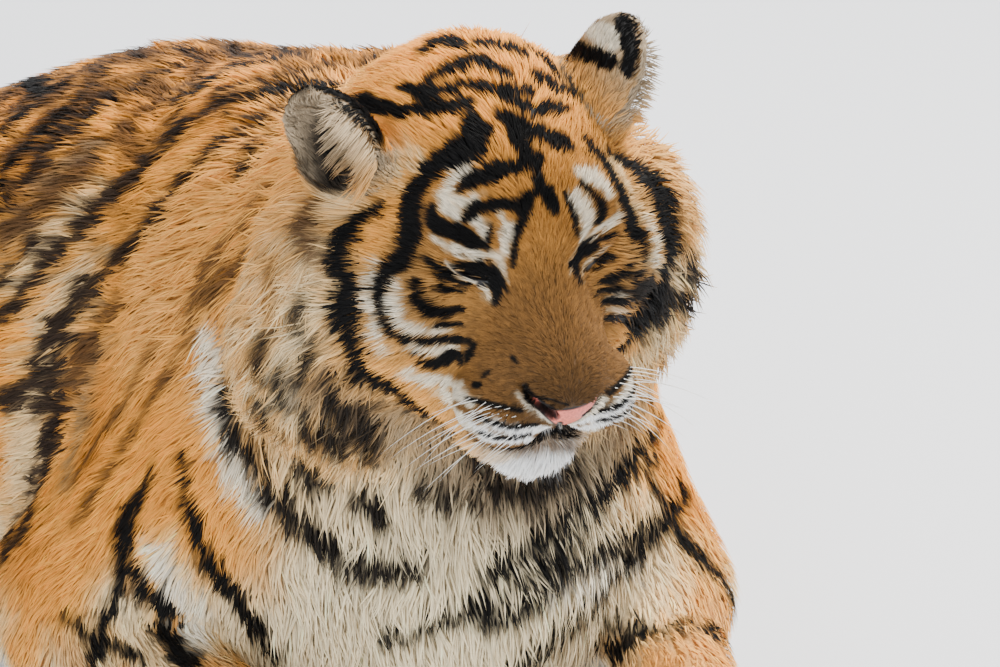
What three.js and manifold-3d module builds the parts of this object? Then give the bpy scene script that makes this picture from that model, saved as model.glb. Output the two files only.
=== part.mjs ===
// Adult Siberian (Amur) tiger, life size, resting on its chest with the head raised.
// Units are millimetres, +Z is up and the floor is z = 0. The tiger faces -Y and its left side is +X.
// The origin is on the floor under the middle of the chest.
//
// The body is one smooth field of fleshy masses, out to the tips of the winter coat. Each named part
// is the field meshed inside its own block, and thin cuts keep the parts from touching.
import * as THREE from "three";
import { mergeVertices } from "three/addons/utils/BufferGeometryUtils.js";
import Module from "manifold-3d";

const wasm = await Module();
wasm.setup();

// ---- Driving dimensions ----
const CUT = 0.3; // gap between neighbouring parts
const SIDES = { left: 1, right: -1 }; // sign of x for each side of the body

const HEAD = {
  at: [0, -545, 600], // point between the eyes
  pitch: 22, // nose down, degrees
  yaw: 2, // turned to its left
};

// Cross-sections of the trunk from breast to rump: middle of the section, half width, half height.
const TRUNK = [
  { at: [0, -335, 222], w: 150, h: 196 },
  { at: [-2, -170, 278], w: 216, h: 282 },
  { at: [-45, 40, 266], w: 262, h: 281 },
  { at: [-90, 125, 252], w: 270, h: 277 },
  { at: [-140, 220, 230], w: 274, h: 248 },
  { at: [-275, 360, 200], w: 256, h: 206 },
  { at: [-420, 475, 199], w: 226, h: 211 },
  { at: [-545, 560, 182], w: 168, h: 179 },
];

// Middle line of the tail, which curls on the floor behind the hind legs, and its radius.
const TAIL = [
  { at: [-610, 610, 205], r: 62 },
  { at: [-690, 690, 115], r: 53 },
  { at: [-705, 790, 52], r: 48 },
  { at: [-630, 875, 43], r: 44 },
  { at: [-500, 905, 42], r: 42 },
  { at: [-375, 890, 41], r: 41 },
  { at: [-260, 850, 40], r: 39 },
  { at: [-165, 775, 34], r: 30 },
];

// Foreleg joints, and the way each paw points: degrees turned to the tiger's left.
const FORELEGS = {
  left: {
    scapula: [88, -95, 470],
    shoulder: [148, -262, 300],
    elbow: [224, -302, 92],
    wrist: [188, -508, 66],
    paw: [158, -594, 44],
    heading: -16,
  },
  right: {
    scapula: [-88, -95, 470],
    shoulder: [-172, -240, 296],
    elbow: [-300, -136, 100],
    wrist: [-226, -435, 66],
    paw: [-214, -520, 44],
    heading: 5,
  },
};

// Hind-leg joints along the pelvis' own axes (out to the side, back and up), the same on both sides.
const PELVIS = { at: [-420, 475, 0], heading: 50 };
const HINDLEG = {
  hip: [100, 0, 265],
  knee: [190, -200, 170],
  hock: [210, 135, 70],
  toes: [222, -165, 42],
};

const TOE = { count: 4, spread: 31, length: 40, width: 23, height: 31 };
const EYE = { at: [57, 0, -2], r: 16 };

// The opening of the lids: its outer corner is the higher one, by "slant" degrees.
const LIDS = { at: [61, -24, -2], radii: [25, 24, 11], slant: 20 };

// Each ear is a round cup: its middle, the way it opens and the way its tip points, on the head's axes.
const EARS = {
  left: { at: [116, 110, 90], opens: [0.93, -0.1, -0.35], tip: [0.3, 0.2, 0.93] },
  right: { at: [-150, 106, 70], opens: [-0.74, -0.62, -0.15], tip: [-0.45, 0.2, 0.87] },
};
const EAR = { width: 47, height: 54, depth: 27 };

// ---- Vector helpers ----
const sub = (a, b) => [a[0] - b[0], a[1] - b[1], a[2] - b[2]];
const mix = (a, b, t) => a.map((x, i) => x + (b[i] - x) * t);
const dot = (a, b) => a[0] * b[0] + a[1] * b[1] + a[2] * b[2];
const unit = (a) => {
  const n = Math.hypot(...a);
  return a.map((x) => x / n);
};
const cross = (a, b) => [
  a[1] * b[2] - a[2] * b[1],
  a[2] * b[0] - a[0] * b[2],
  a[0] * b[1] - a[1] * b[0],
];
const stepped = (p, axis, distance) => p.map((x, i) => x + axis[i] * distance);
const mirrored = (p, side) => [p[0] * side, p[1], p[2]];

// ---- Shapes of the field: each returns a signed distance, negative inside ----
function roundness(p, r) {
  const near = Math.hypot(p[0] / r[0], p[1] / r[1], p[2] / r[2]);
  const slope = Math.hypot(p[0] / r[0] ** 2, p[1] / r[1] ** 2, p[2] / r[2] ** 2);
  return slope < 1e-9 ? -Math.min(...r) : (near * (near - 1)) / slope;
}

// An ellipsoid with its radii along the axes of a frame.
const mass = (at, radii, axes) => (p) => {
  const q = sub(p, at);
  return roundness(axes ? axes.map((a) => dot(q, a)) : q, radii);
};

// A tapered length from a to b, its section w wide and h high at each end.
function bone(a, b, sizeA, sizeB, up = [0, 0, 1]) {
  const line = sub(b, a);
  const length2 = dot(line, line);
  const along = unit(line);
  const across = unit(cross(along, up));
  const over = cross(across, along);
  return (p) => {
    const q = sub(p, a);
    const t = Math.min(1, Math.max(0, dot(q, line) / length2));
    const w = sizeA[0] + (sizeB[0] - sizeA[0]) * t;
    const h = sizeA[1] + (sizeB[1] - sizeA[1]) * t;
    const v = [q[0] - line[0] * t, q[1] - line[1] * t, q[2] - line[2] * t];
    return roundness([dot(v, across), dot(v, over), dot(v, along)], [w, h, (w + h) / 2]);
  };
}

const smoothMin = (a, b, k) => {
  const h = Math.max(k - Math.abs(a - b), 0) / k;
  return Math.min(a, b) - (h * h * k) / 4;
};

// A list of [shape, blend] pairs grown together; a negative blend carves the shape away.
const grown = (list) => (p) =>
  list.reduce((d, [shape, k]) => (k < 0 ? -smoothMin(-d, shape(p), -k) : smoothMin(d, shape(p), k)), 1e4);

// ---- Frames ----
const degrees = THREE.MathUtils.degToRad;
const turned = (at, turn, tilt) =>
  new THREE.Matrix4()
    .makeTranslation(...at)
    .multiply(new THREE.Matrix4().makeRotationZ(degrees(turn)))
    .multiply(new THREE.Matrix4().makeRotationX(degrees(tilt)));
const axesOf = (frame) => [0, 1, 2].map((i) => new THREE.Vector3().setFromMatrixColumn(frame, i).toArray());
const moved = (frame, p) => new THREE.Vector3(...p).applyMatrix4(frame).toArray();

// A frame at a whose own -y axis points at b.
function pointed(a, b) {
  const y = unit(sub(a, b));
  const x = unit(cross(y, [0, 0, 1]));
  const z = cross(x, y);
  const basis = new THREE.Matrix4().makeBasis(...[x, y, z].map((v) => new THREE.Vector3(...v)));
  return basis.setPosition(...a);
}

const upright = new THREE.Matrix4();
const headFrame = turned(HEAD.at, HEAD.yaw, HEAD.pitch);
const fromHead = headFrame.clone().invert();
const pelvisFrame = turned(PELVIS.at, PELVIS.heading, 0);

// An ear's axes: the way it opens, across it and towards its tip.
function earAxes(ear) {
  const open = unit(ear.opens);
  const tip = unit(ear.tip.map((x, i) => x - open[i] * dot(open, ear.tip)));
  return [open, cross(tip, open), tip];
}

// ---- Masses of each region: [shape, blend] pairs ----
function earMasses(ear) {
  const axes = earAxes(ear);
  const { width, height, depth } = EAR;
  const root = stepped(ear.at, axes[2], -height * 0.6);
  const hollow = stepped(stepped(ear.at, axes[0], depth * 0.95), axes[2], 2);
  return [
    [mass(root, [depth * 1.1, width * 0.95, height * 0.6], axes), 22],
    [mass(ear.at, [depth, width, height], axes), 14],
    [mass(hollow, [depth * 1.2, width * 0.82, height * 0.83], axes), -6],
  ];
}

function headMasses() {
  const list = [
    [mass([0, 96, 24], [101, 122, 88]), 10], // braincase
    [mass([0, 30, 32], [74, 54, 46]), 40], // forehead
    [bone([0, 6, -2], [0, -102, -60], [44, 36], [38, 30]), 30], // bridge of the nose
    [mass([0, -66, -66], [62, 58, 34]), 24], // upper muzzle
    [mass([0, -120, -76], [37, 24, 27]), 14], // nose
    [mass([0, -86, -158], [44, 38, 40]), 18], // chin
    [mass([0, 10, -140], [76, 90, 56]), 50], // throat
  ];
  for (const side of Object.values(SIDES)) {
    const m = (p) => mirrored(p, side);
    list.push(
      [mass(m([43, -94, -98]), [43, 45, 34]), 14], // whisker pad
      [mass(m([58, 12, 32]), [30, 24, 17]), 24], // brow
      [bone(m([36, -60, -148]), m([84, 60, -100]), [30, 32], [54, 56]), 30], // jaw
      [mass(m([86, 40, -42]), [52, 64, 54]), 44], // cheek
      [mass(m([134, 74, -124]), [92, 62, 104]), 50], // ruff
      [mass(m([106, 84, -54]), [70, 54, 60]), 64], // ruff below the ear
      [mass(m([116, 64, -180]), [96, 64, 82]), 50], // ruff below the jaw
    );
  }
  return [...list, ...Object.values(EARS).flatMap(earMasses)];
}

function trunkMasses() {
  const lengths = TRUNK.slice(1).map((b, i) => {
    const a = TRUNK[i];
    return [bone(a.at, b.at, [a.w, a.h], [b.w, b.h]), 40];
  });
  return [
    ...lengths,
    [bone([0, -190, 400], [0, -395, 560], [222, 180], [178, 160]), 90], // neck
    [bone([0, -335, 420], [0, -338, 168], [165, 92], [176, 112], [0, -1, 0]), 80], // breast
    [mass([0, -60, 470], [120, 150, 116]), 60], // withers
    [mass([-60, 60, 112], [278, 262, 114]), 60], // belly, spread on the floor
    ...Object.values(SIDES).map((side) => [mass([140 * side, -225, 150], [110, 110, 130]), 60]), // chest
    ...Object.values(FORELEGS).map((leg) => [mass(leg.scapula, [72, 125, 115]), 70]),
  ];
}

function toeMasses(at, axes) {
  const list = [];
  const middle = (TOE.count - 1) / 2;
  for (let i = 0; i < TOE.count; i++) {
    const across = (i - middle) * TOE.spread;
    const ahead = 30 - Math.abs(i - middle) * 10;
    const c = stepped(stepped(at, axes[0], across), axes[1], -ahead);
    list.push([mass(c, [TOE.width, TOE.length, TOE.height], axes), 12]);
  }
  return list;
}

function forelegMasses(leg) {
  const axes = axesOf(turned(leg.paw, leg.heading, 0));
  const ball = stepped(stepped(leg.paw, axes[1], -45), axes[2], -10);
  return [
    [bone(leg.shoulder, leg.elbow, [124, 86], [96, 90], [1, 0, 0]), 70],
    [bone(leg.elbow, leg.wrist, [70, 76], [56, 58]), 40],
    [mass(leg.paw, [68, 82, 50], axes), 30],
    ...toeMasses(ball, axes),
  ];
}

// The joints of one hind leg in the room.
function hindleg(side) {
  const placed = (p) => moved(pelvisFrame, mirrored(p, side));
  const joints = Object.entries(HINDLEG).map(([name, p]) => [name, placed(p)]);
  return Object.fromEntries(joints);
}

function hindlegMasses(side) {
  const leg = hindleg(side);
  const axes = axesOf(pelvisFrame);
  const ball = stepped(stepped(leg.toes, axes[1], -30), axes[2], -10);
  return [
    [bone(leg.hip, leg.knee, [115, 160], [86, 104]), 70],
    [bone(leg.knee, leg.hock, [76, 88], [46, 56]), 50],
    [bone(leg.hock, leg.toes, [44, 50], [50, 42]), 30],
    [mass(leg.toes, [58, 80, 44], axes), 24],
    ...toeMasses(ball, axes),
  ];
}

// The tail's middle line and radius, with a point between each two of TAIL on a smooth curve.
function tailLine() {
  const points = TAIL.map(({ at }) => new THREE.Vector3(...at));
  const curve = new THREE.CatmullRomCurve3(points, false, "catmullrom", 0.5);
  const steps = 2 * (TAIL.length - 1);
  return Array.from({ length: steps + 1 }, (_, i) => {
    const [last, next] = [Math.floor(i / 2), Math.ceil(i / 2)].map((k) => TAIL[k].r);
    return { at: curve.getPoint(i / steps).toArray(), r: (last + next) / 2 };
  });
}

function tailMasses() {
  const line = tailLine();
  return line.slice(1).map((b, i) => {
    const a = line[i];
    return [bone(a.at, b.at, [a.r, a.r], [b.r, b.r]), i === 0 ? 40 : 4];
  });
}

const headField = grown(headMasses());
const bodyField = grown([
  ...trunkMasses(),
  ...Object.values(FORELEGS).flatMap(forelegMasses),
  ...Object.values(SIDES).flatMap(hindlegMasses),
  ...tailMasses(),
]);
const NAPE_BLEND = 70;
const field = (p) => smoothMin(bodyField(p), headField(moved(fromHead, p)), NAPE_BLEND);

// ---- Meshing: one vertex in each cell that the surface crosses, pulled onto the surface ----
const SQUARE = [[0, 0], [1, 0], [1, 1], [0, 1]];

// A box of grid points with the field's value at each; the outermost points always count as outside.
function gridOf(f, low, high, cell) {
  const n = low.map((l, i) => Math.max(2, Math.ceil((high[i] - l) / cell)) + 1);
  const point = (i, j, k) => [low[0] + i * cell, low[1] + j * cell, low[2] + k * cell];
  const index = (i, j, k) => i + n[0] * (j + n[1] * k);
  const onRim = (i, j, k) => [i, j, k].some((x, a) => x === 0 || x === n[a] - 1);
  const value = new Float64Array(n[0] * n[1] * n[2]);
  for (let k = 0; k < n[2]; k++)
    for (let j = 0; j < n[1]; j++)
      for (let i = 0; i < n[0]; i++)
        value[index(i, j, k)] = onRim(i, j, k) ? cell : f(point(i, j, k));
  return { n, point, index, onRim, value };
}

// Fills a corner of each grid square whose corners alternate, so that no edge is met by four faces.
function fillPinches({ n, index, onRim, value }, cell) {
  for (let changed = true; changed; ) {
    changed = false;
    for (let k = 0; k < n[2] - 1; k++)
      for (let j = 0; j < n[1] - 1; j++)
        for (let i = 0; i < n[0] - 1; i++)
          for (let axis = 0; axis < 3; axis++) {
            const corners = SQUARE.map(([u, v]) => {
              const c = [i, j, k];
              c[(axis + 1) % 3] += u;
              c[(axis + 2) % 3] += v;
              return c;
            });
            const inside = corners.map((c) => value[index(...c)] < 0);
            if (inside[0] !== inside[2] || inside[1] !== inside[3] || inside[0] === inside[1]) continue;
            const open = corners.filter((c, m) => !inside[m] && !onRim(...c));
            if (open.length === 0) continue;
            open.sort((a, b) => value[index(...a)] - value[index(...b)]);
            value[index(...open[0])] = -cell / 50;
            changed = true;
          }
  }
}

function meshed(f, low, high, cell) {
  const grid = gridOf(f, low, high, cell);
  fillPinches(grid, cell);
  const { n, point, index, value } = grid;
  const positions = [];
  const vertexOf = new Map();
  const onSurface = (start, corner) => {
    let p = start;
    for (let step = 0; step < 3; step++) {
      const d = f(p);
      const e = cell * 0.05;
      const g = [0, 1, 2].map((a) => {
        const q = [...p];
        q[a] += e;
        return (f(q) - d) / e;
      });
      const g2 = Math.max(dot(g, g), 0.05);
      const shift = Math.max(-cell / 2, Math.min(cell / 2, d)) / g2;
      p = p.map((x, a) => x - g[a] * shift);
    }
    const inCell = (x, a) => Math.min(Math.max(x, corner[a] + 0.08 * cell), corner[a] + 0.92 * cell);
    return p.map(inCell);
  };
  const vertex = (i, j, k) => {
    const key = index(i, j, k);
    if (vertexOf.has(key)) return vertexOf.get(key);
    let sum = [0, 0, 0];
    let crossings = 0;
    for (let axis = 0; axis < 3; axis++) {
      for (let u = 0; u < 2; u++)
        for (let v = 0; v < 2; v++) {
          const a = [i, j, k];
          a[(axis + 1) % 3] += u;
          a[(axis + 2) % 3] += v;
          const b = [...a];
          b[axis] += 1;
          const va = value[index(...a)];
          const vb = value[index(...b)];
          if (va < 0 === vb < 0) continue;
          const c = mix(point(...a), point(...b), va / (va - vb));
          sum = sum.map((x, s) => x + c[s]);
          crossings++;
        }
    }
    const middle = sum.map((x) => x / crossings);
    const touchesRim = [i, j, k].some((x, a) => x === 0 || x === n[a] - 2);
    const at = touchesRim ? middle : onSurface(middle, point(i, j, k));
    positions.push(...at);
    vertexOf.set(key, positions.length / 3 - 1);
    return positions.length / 3 - 1;
  };

  const faces = [];
  for (let k = 0; k < n[2] - 1; k++)
    for (let j = 0; j < n[1] - 1; j++)
      for (let i = 0; i < n[0] - 1; i++)
        for (let axis = 0; axis < 3; axis++) {
          const a = [i, j, k];
          const [s, t] = [(axis + 1) % 3, (axis + 2) % 3];
          if (a[s] === 0 || a[t] === 0) continue;
          const b = [...a];
          b[axis] += 1;
          const inside = value[index(...a)] < 0;
          if (inside === value[index(...b)] < 0) continue;
          const corners = [[0, 0], [-1, 0], [-1, -1], [0, -1]].map(([u, v]) => {
            const c = [...a];
            c[s] += u;
            c[t] += v;
            return vertex(...c);
          });
          const [q, r, x, y] = inside ? corners : corners.reverse();
          faces.push(q, r, x, q, x, y);
        }
  return solidOf(new Float32Array(positions), new Uint32Array(faces));
}

function solidOf(vertProperties, triVerts) {
  return new wasm.Manifold(new wasm.Mesh({ numProp: 3, vertProperties, triVerts }));
}

// A three.js geometry as a solid, placed by a matrix.
function solidFrom(geometry, matrix) {
  const bare = geometry.clone();
  bare.deleteAttribute("normal");
  bare.deleteAttribute("uv");
  const merged = mergeVertices(bare.applyMatrix4(matrix), 1e-4);
  return solidOf(new Float32Array(merged.attributes.position.array), new Uint32Array(merged.index.array));
}

// ---- Parts ----
// A block that starts "before" a point a and runs towards b, to "after" beyond it.
function blockAlong(a, b, { wide, high, before = 0, after = 0 }, name, cell) {
  const length = Math.hypot(...sub(b, a)) + before + after;
  return { name, cell, frame: pointed(a, b), at: [0, before - length / 2, 0], size: [wide, length, high] };
}

function earBlock(name) {
  const ear = EARS[name];
  const axes = earAxes(ear).map((v) => new THREE.Vector3(...v));
  const frame = headFrame.clone().multiply(new THREE.Matrix4().makeBasis(...axes).setPosition(...ear.at));
  return { name: `ear_${name}`, cell: 15, frame, at: [0, 0, 20], size: [90, 130, 120] };
}

function forelegBlocks(name) {
  const leg = FORELEGS[name];
  const side = SIDES[name];
  const toes = stepped(leg.paw, axesOf(turned(leg.paw, leg.heading, 0))[1], -100);
  return [
    blockAlong(leg.wrist, toes, { wide: 165, high: 190, before: -20, after: 80 }, `forepaw_${name}`, 27),
    blockAlong(leg.elbow, leg.wrist, { wide: 165, high: 175, before: -30, after: 60 }, `forearm_${name}`, 42),
    {
      name: `upper_foreleg_${name}`,
      cell: 64,
      frame: upright,
      at: [side * 265, (leg.shoulder[1] + leg.elbow[1]) / 2, 150],
      size: [300, 380, 480],
    },
  ];
}

function hindlegBlocks(name) {
  const leg = hindleg(SIDES[name]);
  const reach = { wide: 190, high: 120, before: 110, after: 160 };
  return [
    blockAlong(leg.hock, leg.toes, reach, `hind_foot_${name}`, 42),
    {
      name: `thigh_${name}`,
      cell: 62,
      frame: pelvisFrame,
      at: [SIDES[name] * 222, -115, 165],
      size: [185, 450, 380],
    },
  ];
}

function tailBlocks() {
  const names = ["tail_tip", "tail_end", "tail_middle", "tail_root"];
  const starts = [5.5, 3.5, 2, 0.5]; // where each length begins, counted along the points of TAIL
  return names.map((name, i) => {
    const from = Math.floor(starts[i]);
    const a = mix(TAIL[from].at, TAIL[from + 1].at, starts[i] - from);
    const b = TAIL[from + 2].at;
    return blockAlong(a, b, { wide: 190, high: 190, after: 70 }, name, 38);
  });
}

const FACE_BLOCKS = [
  { name: "lower_jaw", cell: 18, frame: headFrame, at: [0, -108, -178], size: [130, 110, 106] },
  { name: "nose", cell: 15, frame: headFrame, at: [0, -150, -82], size: [62, 50, 54] },
  { name: "muzzle", cell: 19, frame: headFrame, at: [0, -125, -80], size: [210, 130, 130] },
];

// Each of these takes what is left in front of its own rear cut, so the order matters.
const BODY_BLOCKS = [
  { name: "head", cell: 34, frame: headFrame, at: [0, -85, 0], size: [620, 520, 430] },
  { name: "neck", cell: 72, frame: turned([0, -190, 400], 0, -39), at: [0, -300, 0], size: [700, 600, 620] },
  { name: "chest", cell: 82, frame: turned([-20, -30, 0], 8, 0), at: [0, -450, 350], size: [900, 900, 900] },
  { name: "belly", cell: 88, frame: turned([-215, 300, 0], 44, 0), at: [0, -450, 350], size: [990, 900, 900] },
  { name: "rump", cell: 80, frame: turned([-500, 540, 0], 54, 0), at: [0, 0, 350], size: [900, 900, 900] },
];

// Cut in this order: small outer parts first, then the body behind them.
const BLOCKS = [
  ...Object.keys(SIDES).map(earBlock),
  ...FACE_BLOCKS,
  ...tailBlocks(),
  ...Object.keys(SIDES).flatMap(forelegBlocks),
  ...Object.keys(SIDES).flatMap(hindlegBlocks),
  ...BODY_BLOCKS,
];

// The block as a solid, grown by a margin on every side.
function cuboid({ frame, at, size }, margin = 0) {
  const shape = new THREE.BoxGeometry(...size.map((s) => s + 2 * margin)).translate(...at);
  return solidFrom(shape, frame);
}

// The upright box round a block, with room for one cell of the mesh.
function bounds({ frame, at, size, cell }) {
  const low = new THREE.Vector3(...at.map((x, i) => x - size[i] / 2));
  const high = new THREE.Vector3(...at.map((x, i) => x + size[i] / 2));
  const box = new THREE.Box3(low, high).applyMatrix4(frame).expandByScalar(cell);
  return [box.min.toArray(), box.max.toArray()];
}

// Everything below the floor is cut away, which leaves the flats that the tiger rests on.
const floor = cuboid({ frame: upright, at: [0, 0, -500], size: [4000, 4000, 1000] });

function eyeball(side, extra = 0) {
  const at = moved(headFrame, mirrored(EYE.at, side));
  return new THREE.SphereGeometry(EYE.r + extra, 12, 8).translate(...at);
}

function lidOpening(side) {
  const place = new THREE.Matrix4()
    .makeTranslation(...mirrored(LIDS.at, side))
    .multiply(new THREE.Matrix4().makeRotationY(degrees(-LIDS.slant * side)));
  return new THREE.SphereGeometry(1, 10, 6).scale(...LIDS.radii).applyMatrix4(place).applyMatrix4(headFrame);
}

const sockets = Object.values(SIDES).flatMap((side) => [
  solidFrom(eyeball(side, CUT), upright),
  solidFrom(lidOpening(side), upright),
]);

const largest = (solid) =>
  solid.decompose().reduce((best, piece) => (piece.volume() > best.volume() ? piece : best));

// One part: the field inside its block, less every block cut before it, the eyes and the floor.
function flesh(block, earlier) {
  const body = meshed(field, ...bounds(block), block.cell).intersect(cuboid(block));
  const taken = [...earlier.map((other) => cuboid(other, CUT)), ...sockets, floor];
  return largest(taken.reduce((solid, other) => solid.subtract(other), body));
}

// The solid's surface, with points closer than "near" joined and the slivers between them dropped.
function geometryOf(solid) {
  const near = 2e-3;
  const mesh = solid.getMesh();
  const raw = new THREE.BufferGeometry();
  raw.setAttribute("position", new THREE.BufferAttribute(mesh.vertProperties, 3));
  raw.setIndex(new THREE.BufferAttribute(mesh.triVerts, 1));
  const geometry = mergeVertices(raw, near);
  const corners = geometry.index.array;
  const kept = [];
  for (let i = 0; i < corners.length; i += 3) {
    const [a, b, c] = corners.slice(i, i + 3);
    if (a !== b && b !== c && c !== a) kept.push(a, b, c);
  }
  geometry.setIndex(kept);
  geometry.computeVertexNormals();
  return geometry;
}

// ---- Colours: coat by region, from the ginger back to the pale chin ----
const COLOUR = {
  ginger: 0xc4843c,
  pale: 0xd8b98a,
  cream: 0xe6dcc4,
  dark: 0x2a2320,
  pink: 0xc98074,
  amber: 0x8a6a2c,
};
const COAT = {
  nose: COLOUR.pink,
  lower_jaw: COLOUR.cream,
  neck: COLOUR.pale,
  chest: COLOUR.pale,
  tail_tip: COLOUR.dark,
};
const ROUGH = { fur: 0.9, wet: 0.12 };

function part(name, geometry, color, roughness) {
  const mesh = new THREE.Mesh(geometry, new THREE.MeshStandardMaterial({ color, roughness, metalness: 0 }));
  mesh.name = name;
  return mesh;
}

const tiger = new THREE.Group();
tiger.name = "siberian_tiger";
for (const [name, side] of Object.entries(SIDES)) {
  tiger.add(part(`eye_${name}`, eyeball(side), COLOUR.amber, ROUGH.wet));
}
BLOCKS.forEach((block, i) => {
  const solid = flesh(block, BLOCKS.slice(0, i));
  tiger.add(part(block.name, geometryOf(solid), COAT[block.name] ?? COLOUR.ginger, ROUGH.fur));
});

export default tiger;
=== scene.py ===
"""A life-size Siberian tiger at rest: skin, winter coat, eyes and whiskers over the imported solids."""

from collections import namedtuple
from math import cos, pi, radians, sin

import bmesh
import bpy
import numpy as np
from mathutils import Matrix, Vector


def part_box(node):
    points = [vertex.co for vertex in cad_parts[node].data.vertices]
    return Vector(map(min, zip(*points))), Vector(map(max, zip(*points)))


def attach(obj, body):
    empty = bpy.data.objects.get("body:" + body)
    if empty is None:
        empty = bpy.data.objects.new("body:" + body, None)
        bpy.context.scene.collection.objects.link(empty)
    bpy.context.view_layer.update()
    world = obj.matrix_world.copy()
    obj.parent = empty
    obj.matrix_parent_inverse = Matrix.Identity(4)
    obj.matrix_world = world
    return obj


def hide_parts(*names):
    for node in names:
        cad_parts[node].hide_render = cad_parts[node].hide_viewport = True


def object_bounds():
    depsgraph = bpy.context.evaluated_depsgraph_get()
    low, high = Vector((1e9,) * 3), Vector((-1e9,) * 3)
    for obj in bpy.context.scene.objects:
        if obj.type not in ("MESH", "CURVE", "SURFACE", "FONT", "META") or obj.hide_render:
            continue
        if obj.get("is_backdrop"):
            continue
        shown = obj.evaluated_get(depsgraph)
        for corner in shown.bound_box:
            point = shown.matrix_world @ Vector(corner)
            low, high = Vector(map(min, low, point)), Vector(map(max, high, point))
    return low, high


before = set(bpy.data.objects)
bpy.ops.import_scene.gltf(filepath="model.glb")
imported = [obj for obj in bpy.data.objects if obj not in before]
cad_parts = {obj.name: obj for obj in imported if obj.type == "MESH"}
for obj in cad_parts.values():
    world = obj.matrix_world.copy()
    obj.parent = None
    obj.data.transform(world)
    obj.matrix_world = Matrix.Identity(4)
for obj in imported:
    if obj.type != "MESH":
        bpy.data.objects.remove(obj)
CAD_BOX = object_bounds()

# ---------------------------------------------------------------- the body, in millimetres
# The body is one distance field, built from the same masses as the solids. The tiger looks
# along -Y, its left is +X, and the floor is at zero.

MM = 0.001
SEED = 7
FAR = 1e4
FLOOR_SKIN = 4.0
FLOOR_HAIR = 0.4

HEAD = dict(at=(0, -545, 600), pitch=22, yaw=2)
TRUNK = [
    ((0, -335, 222), 150, 196),
    ((-2, -170, 278), 216, 282),
    ((-45, 40, 266), 262, 281),
    ((-90, 125, 252), 270, 277),
    ((-140, 220, 230), 274, 248),
    ((-275, 360, 200), 256, 206),
    ((-420, 475, 199), 226, 211),
    ((-545, 560, 182), 168, 179),
]
TAIL = [
    ((-610, 610, 205), 62),
    ((-690, 690, 115), 53),
    ((-705, 790, 52), 48),
    ((-630, 875, 43), 44),
    ((-500, 905, 42), 42),
    ((-375, 890, 41), 41),
    ((-260, 850, 40), 39),
    ((-165, 775, 34), 30),
]
FORELEGS = {
    1: dict(scapula=(88, -95, 470), shoulder=(148, -262, 300), elbow=(224, -302, 92),
            wrist=(188, -508, 66), paw=(158, -594, 44), heading=-16),
    -1: dict(scapula=(-88, -95, 470), shoulder=(-172, -240, 296), elbow=(-300, -136, 100),
             wrist=(-226, -435, 66), paw=(-214, -520, 44), heading=5),
}
PELVIS = dict(at=(-420, 475, 0), heading=50)
HINDLEG = dict(hip=(100, 0, 265), knee=(190, -200, 170), hock=(210, 135, 70), toes=(222, -165, 42))
TOE = dict(count=4, spread=31, length=40, width=23, height=31)
EARS = {
    1: dict(at=(116, 110, 90), opens=(0.93, -0.1, -0.35), tip=(0.3, 0.2, 0.93)),
    -1: dict(at=(-152, 106, 70), opens=(-0.74, -0.62, -0.15), tip=(-0.45, 0.2, 0.87)),
}
EAR = dict(width=47, height=54, depth=27)
NAPE = ((0, -190, 400), (0, -395, 560))
DOWN = (0, -0.25, -0.97)
NAPE_BLEND = 70
NOSE_TIP = (0, -135, -72)

# ---------------------------------------------------------------- the coat, by region
# length and width of a tuft, its lift off the skin at the root in degrees, how thickly the tufts stand

Coat = namedtuple("Coat", "length width lift crowd")
TIP_LIFT = 0.3
COATS = {
    "nose": Coat(5, 0.9, 14, 1.0),
    "face": Coat(9, 1.1, 20, 1.0),
    "side": Coat(14, 1.2, 22, 1.0),
    "cheek": Coat(20, 1.4, 26, 1.0),
    "crown": Coat(20, 1.4, 34, 1.0),
    "ruff": Coat(56, 1.7, 30, 1.0),
    "chin": Coat(20, 1.3, 28, 1.2),
    "ear": Coat(9, 1.2, 16, 1.6),
    "neck": Coat(48, 2.1, 28, 1.0),
    "breast": Coat(48, 2.1, 26, 1.0),
    "back": Coat(38, 2.1, 21, 1.0),
    "shoulder": Coat(32, 2.0, 19, 1.0),
    "leg": Coat(26, 2.1, 24, 1.0),
    "paw": Coat(8, 1.4, 15, 2.2),
    "tail": Coat(32, 2.3, 30, 1.3),
}


def coat_depth(coat):
    """How far the tips of a coat stand above the skin."""
    return coat.length / 2 * (sin(radians(coat.lift)) + sin(radians(coat.lift * TIP_LIFT)))


# ---------------------------------------------------------------- shapes of the field

Shape = namedtuple("Shape", "solid blend coat lie")
MARGIN = 40


def array(values):
    return np.array(values, float)


def unit(vectors):
    vectors = array(vectors)
    return vectors / np.maximum(np.linalg.norm(vectors, axis=-1, keepdims=True), 1e-9)


def turned(turn, tilt):
    """Axes turned about Z, then tilted about X."""
    a, b = radians(turn), radians(tilt)
    about_z = array([[cos(a), -sin(a), 0], [sin(a), cos(a), 0], [0, 0, 1]])
    about_x = array([[1, 0, 0], [0, cos(b), -sin(b)], [0, sin(b), cos(b)]])
    return about_z @ about_x


def mirrored(point, side):
    return array([point[0] * side, point[1], point[2]])


def roundness(x, y, z, radii):
    """About how far a point lies outside an ellipsoid."""
    near = np.sqrt((x / radii[0]) ** 2 + (y / radii[1]) ** 2 + (z / radii[2]) ** 2)
    slope = np.sqrt((x / radii[0] ** 2) ** 2 + (y / radii[1] ** 2) ** 2 + (z / radii[2] ** 2) ** 2)
    deepest = -np.minimum(np.minimum(radii[0], radii[1]), radii[2])
    return np.where(slope < 1e-9, deepest, near * (near - 1) / np.maximum(slope, 1e-9))


def mass(at, radii, axes=None):
    """An ellipsoid, with a sphere that holds it."""
    at = array(at)

    def distance(points):
        local = points - at
        if axes is not None:
            local = local @ axes
        return roundness(local[:, 0], local[:, 1], local[:, 2], radii)

    return distance, at, max(radii)


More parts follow.
